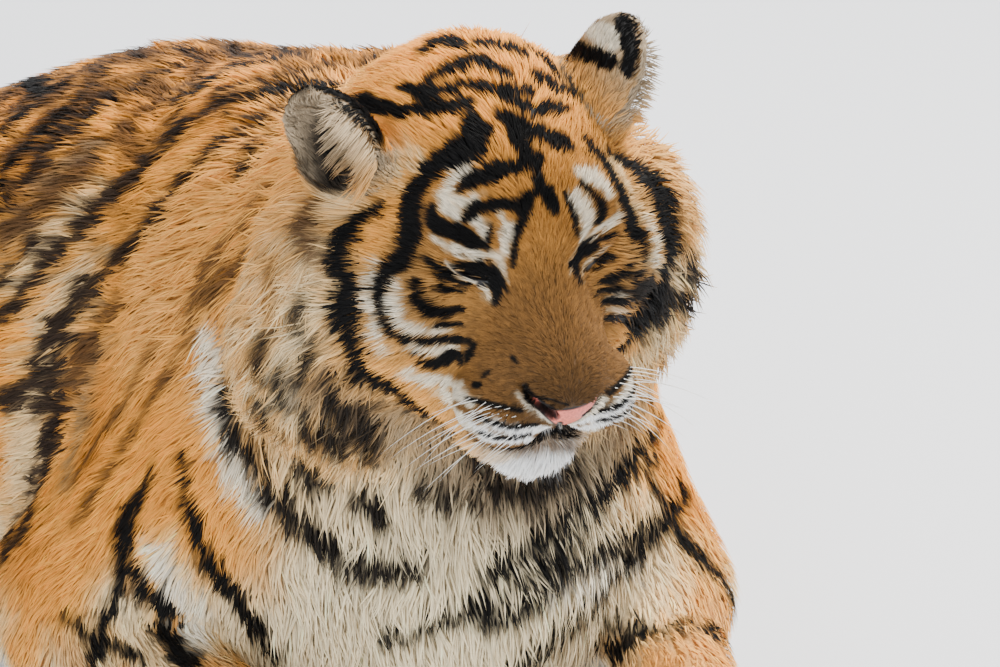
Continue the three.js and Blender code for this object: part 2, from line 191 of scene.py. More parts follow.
def bone(a, b, section_a, section_b, up=(0, 0, 1)):
    """A rounded length whose oval section changes from one end to the other, with a sphere that holds it."""
    a, b = array(a), array(b)
    line = b - a
    along = unit(line)
    across = unit(np.cross(along, up))
    over = np.cross(across, along)

    def distance(points):
        local = points - a
        share = np.clip(local @ line / (line @ line), 0, 1)
        wide = section_a[0] + (section_b[0] - section_a[0]) * share
        high = section_a[1] + (section_b[1] - section_a[1]) * share
        rest = local - line * share[:, None]
        return roundness(rest @ across, rest @ over, rest @ along, (wide, high, (wide + high) / 2))

    return distance, (a + b) / 2, np.linalg.norm(line) / 2 + max(*section_a, *section_b)


def smooth_min(a, b, blend):
    overlap = np.maximum(blend - np.abs(a - b), 0) / blend
    return np.minimum(a, b) - overlap * overlap * blend / 4


HEAD_AXES = turned(HEAD["yaw"], HEAD["pitch"])
PELVIS_AXES = turned(PELVIS["heading"], 0)


def to_head(points):
    return (array(points) - array(HEAD["at"])) @ HEAD_AXES


def from_head(points):
    return array(points) @ HEAD_AXES.T + array(HEAD["at"])


def ear_axes(ear):
    """The way an ear opens, its breadth and its height, as columns."""
    opens = unit(ear["opens"])
    tip = unit(array(ear["tip"]) - opens * (array(ear["tip"]) @ opens))
    return np.stack([opens, np.cross(tip, opens), tip], 1)


def ear_shapes(ear):
    """A round cup on a short root."""
    axes = ear_axes(ear)
    at = array(ear["at"])
    w, h, d = EAR["width"], EAR["height"], EAR["depth"]
    opens, tip = axes[:, 0], axes[:, 2]
    lie = HEAD_AXES @ tip
    return [
        Shape(mass(at - tip * h * 0.6, (d * 1.1, w * 0.95, h * 0.6), axes), 22, "crown", lie),
        Shape(mass(at, (d, w, h), axes), 14, "ear", lie),
        Shape(mass(at + opens * d * 0.95 + tip * 2, (d * 1.2, w * 0.82, h * 0.83), axes), -6, "ear", lie),
    ]


def head_shapes():
    """Skull, muzzle, jaw, cheeks and ruff, in the head's own axes."""
    shapes = [
        Shape(mass((0, 96, 24), (101, 122, 88)), 10, "crown", None),
        Shape(mass((0, 30, 32), (74, 54, 46)), 40, "face", None),
        Shape(bone((0, 6, -2), (0, -102, -60), (44, 36), (38, 30)), 30, "face", None),
        Shape(mass((0, -66, -66), (62, 58, 34)), 24, "face", None),
        Shape(mass((0, -120, -76), (37, 24, 27)), 14, "nose", None),
        Shape(mass((0, -86, -158), (44, 38, 40)), 18, "chin", None),
        Shape(mass((0, 10, -140), (76, 90, 56)), 50, "cheek", None),
    ]
    for side in (1, -1):
        def at(*point):
            return mirrored(point, side)

        shapes += [
            Shape(mass(at(43, -94, -98), (43, 45, 34)), 14, "face", None),
            Shape(mass(at(58, 12, 32), (30, 24, 17)), 24, "face", None),
            Shape(bone(at(36, -60, -148), at(84, 60, -100), (30, 32), (54, 56)), 30, "cheek", None),
            Shape(mass(at(86, 40, -42), (52, 64, 54)), 44, "side", None),
            Shape(mass(at(134, 74, -124), (92, 62, 104)), 50, "ruff", None),
            Shape(mass(at(106, 84, -54), (70, 54, 60)), 64, "ruff", None),
            Shape(mass(at(116, 64, -180), (96, 64, 82)), 50, "ruff", None),
        ]
    for side in (1, -1):
        shapes += ear_shapes(EARS[side])
    return shapes


def trunk_shapes():
    """Chest, belly and rump along the spine, with the neck, breast and shoulder blades."""
    shapes = []
    for number, ((a, wide, high), (b, wide_b, high_b)) in enumerate(zip(TRUNK, TRUNK[1:])):
        lie = unit(unit(array(b) - array(a)) + (0, 0, -0.12))
        coat = "back" if number else "breast"
        shapes.append(Shape(bone(a, b, (wide, high), (wide_b, high_b)), 40, coat, lie if number else DOWN))
    nape = bone(*NAPE, (222, 180), (178, 160))
    breast = bone((0, -335, 420), (0, -338, 168), (165, 92), (176, 112), (0, -1, 0))
    shapes.append(Shape(nape, 90, "neck", unit((0, 0.8, -0.75))))
    shapes.append(Shape(breast, 80, "breast", DOWN))
    shapes.append(Shape(mass((0, -60, 470), (120, 150, 116)), 60, "back", unit((0, 1, -0.3))))
    shapes.append(Shape(mass((-60, 60, 112), (278, 262, 114)), 60, "back", unit((0, 1, -0.3))))
    for side in (1, -1):
        chest = mass((140 * side, -225, 150), (110, 110, 130))
        shapes.append(Shape(chest, 60, "breast", unit((0.3 * side, -0.1, -1))))
    for side in (1, -1):
        blade = mass(FORELEGS[side]["scapula"], (72, 125, 115))
        shapes.append(Shape(blade, 70, "shoulder", unit((0.25 * side, 0.6, -0.6))))
    return shapes


def toe_shapes(at, axes):
    """A row of toes, the middle ones ahead."""
    shapes = []
    middle = (TOE["count"] - 1) / 2
    for number in range(TOE["count"]):
        offset = number - middle
        centre = array(at) + axes[:, 0] * offset * TOE["spread"] + axes[:, 1] * (abs(offset) * 10 - 30)
        radii = (TOE["width"], TOE["length"], TOE["height"])
        shapes.append(Shape(mass(centre, radii, axes), 12, "paw", -axes[:, 1]))
    return shapes


def foreleg_shapes(side):
    leg = FORELEGS[side]
    axes = turned(leg["heading"], 0)
    upper = unit(array(leg["elbow"]) - array(leg["shoulder"]))
    lower = unit(array(leg["wrist"]) - array(leg["elbow"]))
    shapes = [
        Shape(bone(leg["shoulder"], leg["elbow"], (124, 86), (96, 90), (1, 0, 0)), 70, "shoulder", upper),
        Shape(bone(leg["elbow"], leg["wrist"], (70, 76), (56, 58)), 40, "leg", lower),
        Shape(mass(leg["paw"], (68, 82, 50), axes), 30, "paw", -axes[:, 1]),
    ]
    return shapes + toe_shapes(array(leg["paw"]) - axes[:, 1] * 45 + (0, 0, -10), axes)


def in_pelvis(point, side):
    """A place of a hind leg in the room."""
    return array(PELVIS["at"]) + PELVIS_AXES @ mirrored(point, side)


def hindleg_shapes(side):
    hip, knee, hock, toes = (in_pelvis(HINDLEG[name], side) for name in ("hip", "knee", "hock", "toes"))
    out, back, up = HINDLEG["toes"]
    ahead = -PELVIS_AXES[:, 1]
    shapes = [
        Shape(bone(hip, knee, (115, 160), (86, 104)), 70, "shoulder", unit(knee - hip)),
        Shape(bone(knee, hock, (76, 88), (46, 56)), 50, "leg", unit(hock - knee)),
        Shape(bone(hock, toes, (44, 50), (50, 42)), 30, "leg", unit(toes - hock)),
        Shape(mass(toes, (58, 80, 44), PELVIS_AXES), 24, "paw", ahead),
    ]
    return shapes + toe_shapes(in_pelvis((out, back - 30, up - 10), side), PELVIS_AXES)


def tail_line(parts=2):
    """The tail's middle line and radius, with more points than TAIL has, on a smooth curve."""
    spots = [array(at) for at, _ in TAIL]
    spots = [2 * spots[0] - spots[1], *spots, 2 * spots[-1] - spots[-2]]
    line = []
    for number, ((_, r), (_, r_b)) in enumerate(zip(TAIL, TAIL[1:])):
        before, a, b, after = spots[number:number + 4]
        for t in np.arange(parts) / parts:
            start, end = (b - before) / 2, (after - a) / 2
            curve = (2 * a - 2 * b + start + end) * t ** 3 + (3 * b - 3 * a - 2 * start - end) * t ** 2
            line.append((curve + start * t + a, r + (r_b - r) * t))
    return line + [(array(TAIL[-1][0]), TAIL[-1][1])]


def tail_shapes():
    shapes = []
    line = tail_line()
    for number, ((a, r), (b, r_b)) in enumerate(zip(line, line[1:])):
        blend = 40 if number == 0 else 4
        shapes.append(Shape(bone(a, b, (r, r), (r_b, r_b)), blend, "tail", unit(b - a)))
    return shapes


HEAD_SHAPES = head_shapes()
BODY_SHAPES = trunk_shapes() + foreleg_shapes(1) + foreleg_shapes(-1)
BODY_SHAPES += hindleg_shapes(1) + hindleg_shapes(-1) + tail_shapes()


def joined(shapes, points, inset):
    """The shapes as one body; inset takes each one in by the depth of its coat."""
    total = np.full(len(points), FAR)
    for shape in shapes:
        distance, middle, reach = shape.solid
        reach += abs(shape.blend) + MARGIN
        close = np.flatnonzero(((points - middle) ** 2).sum(1) < reach ** 2)
        depth = coat_depth(COATS[shape.coat]) * inset
        near = distance(points[close])
        if shape.blend < 0:
            total[close] = -smooth_min(-total[close], near - depth, -shape.blend)
        else:
            total[close] = smooth_min(total[close], near + depth, shape.blend)
    return total


def coat_field(points):
    """Zero where the tips of the coat end."""
    return smooth_min(joined(BODY_SHAPES, points, 0), joined(HEAD_SHAPES, to_head(points), 0), NAPE_BLEND)


def skin_field(points):
    """Zero on the skin under the coat."""
    return smooth_min(joined(BODY_SHAPES, points, 1), joined(HEAD_SHAPES, to_head(points), 1), NAPE_BLEND)


def slope(field, points, step=0.5):
    """Unit directions out of the field's body."""
    here = field(points)
    parts = [field(points + step * axis) - here for axis in np.eye(3)]
    return unit(np.stack(parts, 1))


# ---------------------------------------------------------------- the skin's net

CELL = 10.0
FINE = 4
FINE_FACE = dict(low=(-135, -200, -225), high=(135, 66, 105))
FINE_EAR = 84


def is_fine(points):
    """Whether the net is fine here: on the face and the ears."""
    local = to_head(points)
    fine = np.all((local > FINE_FACE["low"]) & (local < FINE_FACE["high"]), axis=1)
    for ear in EARS.values():
        fine |= np.linalg.norm(local - array(ear["at"]), axis=1) < FINE_EAR
    return fine


def pack_code(cells):
    return (cells[..., 0] << 24) | (cells[..., 1] << 12) | cells[..., 2]


def unpack_code(code):
    return np.stack([code >> 24, (code >> 12) & 4095, code & 4095], -1)


def grid_values(field, low, count, block=4):
    """The field at the corners of the coarse cells, worked out only in blocks near the surface."""
    blocks = (count + block - 1) // block
    index = np.stack(np.meshgrid(*[np.arange(n) for n in blocks], indexing="ij"), -1).reshape(-1, 3)
    middle = low + (index + 0.5 - 0.5 / block) * CELL * block
    near = field(middle)
    rough = np.where(near < 0, -FAR, FAR).reshape(blocks)
    wanted = (np.abs(near) < CELL * block * 1.4).reshape(blocks)
    for axis in range(3):
        rough = np.repeat(rough, block, axis)
        wanted = np.repeat(wanted, block, axis)
    values = rough[:count[0], :count[1], :count[2]].copy()
    chosen = np.argwhere(wanted[:count[0], :count[1], :count[2]])
    values[tuple(chosen.T)] = field(low + chosen * CELL)
    return values


AROUND = ((0, 0), (-1, 0), (-1, -1), (0, -1))


def cells_round(starts, axis):
    """The four cells round each grid edge."""
    rings = []
    for u, w in AROUND:
        cell = starts.copy()
        cell[:, (axis + 1) % 3] += u
        cell[:, (axis + 2) % 3] += w
        rings.append(cell)
    return np.stack(rings, 1)


def coarse_edges(values, low, fine_cells):
    """Faces of the net from the coarse edges that no fine cell touches."""
    found = []
    for axis in range(3):
        first = np.take(values, range(values.shape[axis] - 1), axis)
        second = np.take(values, range(1, values.shape[axis]), axis)
        starts = np.argwhere((first < 0) != (second < 0))
        a, b = first[tuple(starts.T)], second[tuple(starts.T)]
        points = low + starts * CELL
        points[:, axis] += CELL * a / (a - b)
        ring = cells_round(starts, axis)
        plain = ~fine_cells[ring[..., 0], ring[..., 1], ring[..., 2]].any(1)
        found.append((pack_code(ring)[plain], points[plain], (a < 0)[plain]))
    return found


def fine_edges(field, low, fine_cells):
    """Faces of the net from every edge of the fine cells."""
    size = CELL / FINE
    base = np.argwhere(fine_cells) * FINE
    steps = np.stack(np.meshgrid(*[np.arange(FINE + 1)] * 3, indexing="ij"), -1).reshape(-1, 3)
    corners = np.unique(pack_code((base[:, None] + steps).reshape(-1, 3)))
    values = field(low + unpack_code(corners) * size)
    found = []
    for axis in range(3):
        inner = steps[steps[:, axis] < FINE]
        starts = unpack_code(np.unique(pack_code((base[:, None] + inner).reshape(-1, 3))))
        ends = starts.copy()
        ends[:, axis] += 1
        a = values[np.searchsorted(corners, pack_code(starts))]
        b = values[np.searchsorted(corners, pack_code(ends))]
        crossed = (a < 0) != (b < 0)
        starts, a, b = starts[crossed], a[crossed], b[crossed]
        points = low + starts * size
        points[:, axis] += size * a / (a - b)
        ring = cells_round(starts, axis)
        parent = ring // FINE
        is_in = fine_cells[parent[..., 0], parent[..., 1], parent[..., 2]]
        code = np.where(is_in, pack_code(ring) + (1 << 40), pack_code(parent))
        found.append((code, points, a < 0))
    return found


def pulled(field, points, size, rounds=3):
    """Points moved onto the field's surface, at most half a cell each time."""
    for _ in range(rounds):
        here = field(points)
        step = 0.5
        slopes = np.stack([(field(points + step * axis) - here) / step for axis in np.eye(3)], 1)
        square = np.maximum((slopes ** 2).sum(1), 0.05)
        points = points - slopes * (np.clip(here, -size / 2, size / 2) / square)[:, None]
    return points


def net(field, low, high):
    """The points and faces of one closed net on the field's surface."""
    count = np.ceil((high - low) / CELL).astype(int) + 1
    values = grid_values(field, low, count)
    near = np.abs(values) < 2.2 * CELL
    cells = near[:-1, :-1, :-1].copy()
    for i, j, k in np.ndindex(2, 2, 2):
        cells |= near[i:count[0] - 1 + i, j:count[1] - 1 + j, k:count[2] - 1 + k]
    chosen = np.argwhere(cells)
    cells[tuple(chosen.T)] = is_fine(low + (chosen + 0.5) * CELL)
    found = coarse_edges(values, low, cells) + fine_edges(field, low, cells)
    codes = np.concatenate([part[0] for part in found])
    crossing = np.concatenate([part[1] for part in found])
    flipped = ~np.concatenate([part[2] for part in found])
    leaves, index = np.unique(codes, return_inverse=True)
    faces = index.reshape(codes.shape)
    total = np.zeros((len(leaves), 3))
    np.add.at(total, faces.ravel(), np.repeat(crossing, 4, 0))
    points = total / np.bincount(faces.ravel())[:, None]
    faces[flipped] = faces[flipped][:, ::-1]
    size = np.where(leaves >> 40, CELL / FINE, CELL)
    return pulled(field, points, size), faces


def clean_faces(faces):
    """Faces as lists, with a corner that is there twice taken out."""
    same = faces == np.roll(faces, -1, 1)
    whole = faces[~same.any(1)].tolist()
    rest = [[p for p, twin in zip(face, twins) if not twin]
            for face, twins in zip(faces[same.any(1)].tolist(), same[same.any(1)])]
    return whole + [face for face in rest if len(set(face)) > 2]


def make_skin():
    low = array(CAD_BOX[0]) / MM - 3 * CELL
    high = array(CAD_BOX[1]) / MM + 3 * CELL
    points, faces = net(skin_field, low, high)
    mesh = bpy.data.meshes.new("skin")
    mesh.from_pydata((points * MM).tolist(), [], clean_faces(faces))
    mesh.validate()
    skin = bpy.data.objects.new("skin", mesh)
    bpy.context.scene.collection.objects.link(skin)
    return skin


# ---------------------------------------------------------------- the camera, and pixels of its picture
# A pixel is given in a picture of 1000 by 667, seen from AIM.

AIM = dict(azimuth=-22, elevation=25, distance=5000)
PICTURE = (1000, 667)
PIXELS_PER_MM = 1.115
HEAD_PIXEL = (523, 245)
SENSOR = 36


def view_axes():
    """The camera's right, up and back."""
    turn, rise = radians(AIM["azimuth"]), radians(AIM["elevation"])
    right = array((cos(turn), sin(turn), 0))
    back = array((sin(turn) * cos(rise), -cos(turn) * cos(rise), sin(rise)))
    return right, np.cross(back, right), back


RIGHT, UP, BACK = view_axes()


def in_view(pixel):
    """The point of the plane through the head that shows at a pixel."""
    x = (pixel[..., 0] - HEAD_PIXEL[0]) / PIXELS_PER_MM
    y = (HEAD_PIXEL[1] - pixel[..., 1]) / PIXELS_PER_MM
    return array(HEAD["at"]) + x[..., None] * RIGHT + y[..., None] * UP


LOOKED_AT = in_view(array((PICTURE[0] / 2, PICTURE[1] / 2)))
EYE_POINT = LOOKED_AT + BACK * AIM["distance"]
# Where the looking for the coat starts and ends, from the head's distance on, and its steps.
NEAREST, FARTHEST, STRIDE = -900, 2300, 20
HALVINGS = 8


def first_out(starts, ways, far, step, wanted_inside):
    """Where each line first goes into the coat, or out of it."""
    reach = np.arange(0, far, step)
    points = starts[:, None] + ways[:, None] * reach[None, :, None]
    values = coat_field(points.reshape(-1, 3)).reshape(len(starts), -1)
    hit = (values < 0) == wanted_inside
    found = hit.any(1)
    index = np.where(found, hit.argmax(1), np.abs(values).argmin(1))
    near, away = reach[np.maximum(index - 1, 0)], reach[index]
    for _ in range(HALVINGS):
        middle = (near + away) / 2
        inside = coat_field(starts + ways * middle[:, None]) < 0
        past = inside == wanted_inside
        away = np.where(past, middle, away)
        near = np.where(past, near, middle)
    middle = np.where(found, (near + away) / 2, reach[index])
    return starts + ways * middle[:, None]


def seen_at(pixels):
    """The points of the coat that show at these pixels."""
    ways = unit(in_view(array(pixels)) - EYE_POINT)
    starts = EYE_POINT + ways * (AIM["distance"] + NEAREST)
    return first_out(starts, ways, FARTHEST - NEAREST, STRIDE, True)


# ---------------------------------------------------------------- marks
# A mark is a line of points with a half width at each: seen marks are in pixels, and the rest are
# laid round the body's bones.

Mark = namedtuple("Mark", "points widths")
PIXEL_STEP = 5
# How flat distances to a mark are measured along the surface, and how deep under it a mark still counts.
FLATNESS = 0.88
DEEPEST = 26
# Points of a mark that goes round a bone, how far it looks for the coat, and its steps.
RING_POINTS = 14
RING_REACH, RING_STRIDE = 420, 12


def spaced(points, widths, step):
    """The same line with more points."""
    points, widths = array(points), array(widths)
    if len(widths) != len(points):
        widths = np.interp(np.linspace(0, 1, len(points)), np.linspace(0, 1, len(widths)), widths)
    along = np.concatenate([[0], np.cumsum(np.linalg.norm(np.diff(points, axis=0), axis=1))])
    places = np.linspace(0, along[-1], max(2, int(along[-1] / step) + 1))
    line = np.stack([np.interp(places, along, column) for column in points.T], 1)
    return line, np.interp(places, along, widths)


def seen_mark(widths, pixels):
    line, wide = spaced(pixels, widths, PIXEL_STEP)
    return Mark(seen_at(line), wide / PIXELS_PER_MM)


def twin(mark):
    """The same mark on the other side of the face."""
    local = to_head(mark.points) * (-1, 1, 1)
    return Mark(from_head(local), mark.widths)


def pairs(marks):
    return marks + [twin(mark) for mark in marks]


def ring_mark(a, b, share, turns, widths, up=(0, 0, 1), swing=0, sweep=0):
    """A mark round the length from a to b; turns are its first and last degrees from the top."""
    a, b = array(a), array(b)
    along = unit(b - a)
    across = unit(np.cross(along, up))
    over = np.cross(across, along)
    angles = np.radians(np.linspace(turns[0], turns[1], RING_POINTS))
    run = np.linspace(0, 1, RING_POINTS)
    shares = share + sweep * run + swing * np.sin(np.linspace(0, 2 * pi, RING_POINTS))
    starts = a + (b - a) * shares[:, None]
    ways = np.cos(angles)[:, None] * over + np.sin(angles)[:, None] * across
    points = first_out(starts, ways, RING_REACH, RING_STRIDE, False)
    return Mark(points, np.interp(run, np.linspace(0, 1, len(widths)), widths))


def wobble(points, size, seed, waves=9):
    """Smooth noise of about -1 to 1 whose bumps are about this size."""
    rng = np.random.default_rng(seed)
    ways = unit(rng.normal(size=(waves, 3))) * (2 * pi / size) * rng.uniform(0.5, 1.1, (waves, 1))
    total = np.zeros(len(points))
    for way, phase in zip(ways, rng.uniform(0, 2 * pi, waves)):
        total += np.sin(points @ way + phase)
    return total / np.sqrt(waves)


def line_distance(points, normals, line, widths):
    """Distance to a line, mostly as measured along the surface, and the line's half width there."""
    best = np.full(len(points), FAR)
    wide = np.zeros(len(points))
    for a, b, w, w_b in zip(line, line[1:], widths, widths[1:]):
        run = b - a
        share = np.clip((points - a) @ run / max(run @ run, 1e-9), 0, 1)
        rest = points - a - share[:, None] * run
        through = (rest * normals).sum(1)
        away = np.sqrt(np.maximum((rest ** 2).sum(1) - FLATNESS * through ** 2, 0))
        closer = (away < best) & (np.abs(through) < DEEPEST)
        best[closer] = away[closer]
        wide[closer] = (w + (w_b - w) * share)[closer]
    return best, wide


def covered(points, normals, marks, soft, ragged=0.0, growth=0.0):
    """How far each point is covered by the marks, from 0 to 1, over an edge of "soft" millimetres."""
    total = np.zeros(len(points))
    shake = (wobble(points, 11, 3) + 0.6 * wobble(points, 34, 4)) * ragged
    for mark in marks:
        reach = mark.widths.max() + 2.5 * ragged + soft + DEEPEST / 2
        low, high = mark.points.min(0) - reach, mark.points.max(0) + reach
        close = np.flatnonzero(np.all((points > low) & (points < high), axis=1))
        if len(close) == 0:
            continue
        away, wide = line_distance(points[close], normals[close], mark.points, mark.widths)
        inside = wide + growth + shake[close] * np.minimum(wide / 6, 1) - away
        total[close] = np.maximum(total[close], ramp(inside, -soft, soft))
    return total


# Half widths and pixels of the black marks that both sides of the face have.
FACE_MARKS = dict(
    sideburn=((5, 9, 13, 14, 14, 13, 12, 11),
              [(373, 204), (352, 219), (338, 238), (332, 262), (340, 284), (334, 308), (340, 334),
               (348, 362)]),
    jowl=((11, 11, 12, 12, 10, 8, 5),
          [(348, 362), (352, 384), (372, 392), (394, 402), (414, 412), (434, 422), (452, 436)]),
    whiskers_1=((1.3, 1.5, 1.5, 1.2), [(466, 399), (482, 403), (500, 407), (520, 412)]),
    whiskers_2=((1.0, 1.4, 1.6, 1.0), [(478, 418), (492, 424), (512, 428), (536, 427)]),
    whiskers_3=((1.0, 1.4, 1.2, 0.8), [(478, 433), (494, 438), (512, 439), (530, 436)]),
    mouth=((1.5, 2, 2.5, 2.5, 2.5, 2),
           [(560, 430), (549, 437), (534, 442), (513, 447), (490, 447), (468, 438)]),
)
# Black marks of the near side of the face.
NEAR_MARKS = dict(
    nostril=((1.5, 3, 3.5, 4.5, 3), [(525, 386), (529, 396), (538, 404), (548, 410.5), (555, 418)]),
    leather_edge=((-0.7, -0.5, -0.5), [(538, 397), (552, 400), (568, 405)]),
    temple=((10, 12, 12, 13, 14, 14, 12, 9, 7, 7, 6, 5),
            [(482, 128), (456, 144), (430, 166), (408, 190), (403, 214), (406, 238), (397, 260),
             (380, 274), (372, 296), (375, 318), (386, 338), (402, 347)]),
    brow_high=((2, 8, 10, 9, 7, 5), [(457, 190), (468, 180), (486, 172), (506, 166), (524, 160), (540, 154)]),
    brow_low=((4, 6, 5, 5, 5, 4), [(465, 219), (476, 207), (496, 204), (515, 204), (532, 194), (546, 189)]),
    brow_end=((5, 7, 8, 9, 8, 4), [(429, 207), (429, 218), (441, 227), (456, 232), (470, 241), (483, 247)]),
    bridge_side=((4, 3.5, 3, 1.5), [(525, 215), (518, 232), (514, 250), (512, 266)]),
    brow_line=((1.6, 2.0, 1.4), [(490, 226), (488, 240), (487, 253)]),
    eye_slit=((3, 6, 8, 9, 9, 8, 3),
              [(454, 266), (466, 268.5), (477, 270.5), (487, 273), (493, 281), (495, 291), (490, 302)]),
    eye_corner=((5, 3, 1), [(496, 282), (502, 287), (506, 291)]),
    under_eye_1=((3, 4, 4, 2), [(423, 260), (432, 269), (446, 278), (464, 288)]),
    under_eye_2=((2.5, 3.5, 2), [(435, 289), (446, 291), (458, 294)]),
    under_eye_3=((4, 7, 9, 7, 3), [(413, 282), (416, 301), (425, 314), (439, 316), (456, 313)]),
    under_eye_4=((3, 4, 3), [(436, 328), (446, 328), (456, 328)]),
    cheek_1=((6, 6, 6, 5, 3), [(392, 342), (408, 344), (426, 346), (444, 345), (464, 341)]),
    cheek_2=((3, 5, 6, 5, 5, 2), [(412, 358), (418, 368), (430, 369), (446, 363), (462, 355), (471, 344)]),
    pad_spot_1=((2, 2.5), [(473, 384), (477, 385)]),
    pad_spot_2=((0.5, 1), [(481, 376), (487, 372)]),
    bridge_spot=((1, 0.5), [(511, 357), (515, 361)]),
)
# Black marks of the crown and of the far side of the face.
HEAD_MARKS = dict(
    crown_9=((6, 9, 7), [(470, 82), (500, 86), (530, 86)]),
    crown_10=((5, 8, 7), [(400, 84), (430, 92), (458, 82)]),
    crown_11=((6, 8, 5), [(530, 44), (548, 54), (560, 66)]),
    brow_patch=((10, 15, 14, 8), [(470, 118), (474, 132), (470, 146), (456, 156)]),
    crown_1=((7, 11, 10, 8), [(427, 76), (460, 60), (478, 56), (505, 69)]),
    crown_2=((8, 9, 9, 8), [(397, 111), (418, 105), (442, 105), (466, 99)]),
    crown_3=((8, 9, 7), [(505, 93), (535, 105), (568, 102)]),
    crown_4=((8, 10, 8), [(538, 72), (559, 81), (576, 87)]),
    crown_5=((8, 10, 10, 9), [(502, 111), (529, 126), (550, 132), (570, 141)]),
    crown_6=((8, 11, 10), [(424, 46), (440, 34), (458, 42)]),
    crown_7=((9, 11, 8), [(480, 38), (500, 40), (520, 48)]),
    crown_8=((5, 8, 8, 5), [(340, 96), (362, 100), (384, 108), (398, 112)]),
    middle_1=((5, 8, 8, 5), [(512, 124), (520, 140), (528, 152), (536, 164)]),
    middle_2=((6, 9, 7, 4), [(538, 176), (547, 188), (552, 198), (556, 208)]),
    middle_3=((4, 5), [(532, 196), (524, 212)]),
    far_temple=((5, 8, 9, 11, 12, 9, 5, 3, 3, 2),
                [(590, 136), (608, 158), (621, 180), (632, 204), (637, 222), (645, 236), (650, 250),
                 (649, 264), (647, 275), (638, 287)]),
    far_crown=((5, 8, 11, 12, 13, 12),
               [(614, 148), (638, 160), (658, 182), (668, 208), (675, 232), (682, 254)]),
    far_brow_edge=((2, 2.5, 2.5, 2), [(566, 192), (573, 206), (579, 222), (581, 236)]),
    far_brow_spot=((3, 3, 7, 6, 3), [(584, 183), (598, 194), (606, 208), (605, 218), (599, 224)]),
    far_eye=((4, 6, 7, 6, 4, 2), [(602, 247), (594, 249), (586, 252), (580, 260), (582, 271), (587, 281)]),
    far_lash=((2, 3, 2), [(586, 244), (602, 240), (618, 234)]),
    far_cheek_1=((2, 3.5, 2), [(594, 268), (606, 264), (619, 259)]),
    far_cheek_2=((3, 5, 4, 3), [(610, 283), (623, 280), (632, 273), (637, 265)]),
    far_cheek_3=((2, 3, 2), [(609, 292), (617, 292), (625, 290)]),
    far_cheek_4=((3, 4, 4), [(613, 302), (624, 304), (637, 305)]),
    far_cheek_5=((3, 4, 4), [(616, 320), (628, 323), (641, 326)]),
    far_ear=((5, 7, 7), [(558, 38), (584, 50), (612, 60)]),
    far_ear_tip=((12, 15, 12, 8), [(628, 18), (636, 34), (638, 52), (630, 68)]),
)
# Soft black hair of the ruff, the throat and the chest, and painted shadow under the chin.
NECK_MARKS = dict(
    ruff_1=((2, 5, 5, 3), [(322, 386), (328, 404), (340, 424), (348, 444)]),
    ruff_2=((1, 3, 3, 1), [(264, 336), (256, 356), (258, 374), (266, 388)]),
    ruff_3=((1, 3, 2), [(300, 300), (292, 322), (298, 346)]),
    ruff_4=((2, 4, 4, 2), [(300, 410), (306, 432), (318, 452), (334, 466)]),
    ruff_5=((1, 3, 2), [(278, 372), (276, 392), (284, 412)]),
    far_ruff_1=((12, 18, 20, 16, 10), [(640, 285), (656, 296), (674, 312), (662, 326), (640, 334)]),
    far_ruff_2=((6, 8, 6), [(684, 300), (694, 312), (698, 330)]),
    far_ruff_3=((4, 6, 4), [(690, 262), (696, 274), (702, 284)]),
    collar_1=((5, 9, 9), [(226, 340), (222, 358), (232, 372)]),
    collar_2=((7, 11, 9), [(218, 386), (216, 402), (224, 416)]),
    collar_3=((7, 11, 12, 8), [(222, 432), (230, 448), (242, 464), (252, 474)]),
    collar_4=((8, 13, 13, 9), [(262, 494), (276, 510), (292, 524), (302, 530)]),
    collar_5=((8, 13, 14, 10), [(304, 536), (318, 546), (328, 560), (334, 572)]),
    collar_6=((8, 10, 10, 8), [(344, 576), (366, 580), (390, 578), (412, 576)]),
    collar_in_1=((4, 7, 5), [(258, 400), (266, 418), (278, 430)]),
    collar_in_2=((4, 7, 4), [(288, 468), (300, 486), (318, 500)]),
    collar_in_3=((4, 6, 4), [(352, 508), (372, 518), (384, 536)]),
    collar_in_4=((4, 7, 5), [(420, 500), (444, 508), (468, 510)]),
    throat_1=((5, 9, 7), [(326, 420), (334, 438), (336, 456)]),
    throat_2=((1, 5, 3), [(309, 346), (300, 366), (298, 388)]),
    throat_3=((5, 9, 9, 6), [(382, 396), (404, 412), (428, 426), (450, 446)]),
    throat_4=((3, 6, 4), [(356, 420), (366, 446), (370, 470)]),
    # Painted shadow under the chin, where the head shades the throat.
    under_chin_shade=((5, 8, 9, 7, 5), [(478, 478), (500, 494), (530, 500), (560, 492), (588, 474)]),
    right_throat=((4, 7, 8, 8, 6), [(582, 513), (598, 504), (611, 494), (636, 478), (661, 467)]),
)
BODY_MARKS = dict(
    elbow=((3, 7, 9, 9, 8, 8, 8, 9),
           [(131, 500), (124, 520), (121, 537), (122, 560), (136, 586), (153, 614), (172, 641), (191, 667)]),
    forearm=((3, 7, 9, 9, 9, 9, 9, 9),
             [(179, 458), (180, 486), (185, 516), (196, 548), (210, 578), (231, 604), (249, 630),
              (268, 665)]),
    wrist=((2, 4, 4, 3), [(61, 620), (83, 636), (108, 647), (143, 662)]),
    far_leg_1=((8, 9, 7, 9, 8, 9, 9, 8, 6),
               [(688, 501), (680, 518), (661, 528), (628, 548), (598, 567), (573, 580), (548, 600),
                (523, 618), (490, 631)]),
    far_leg_2=((8, 9, 8, 7, 4), [(582, 513), (560, 536), (538, 551), (509, 565), (488, 586)]),
    far_leg_3=((3, 6, 9, 9), [(667, 630), (640, 630), (621, 638), (604, 662)]),
)
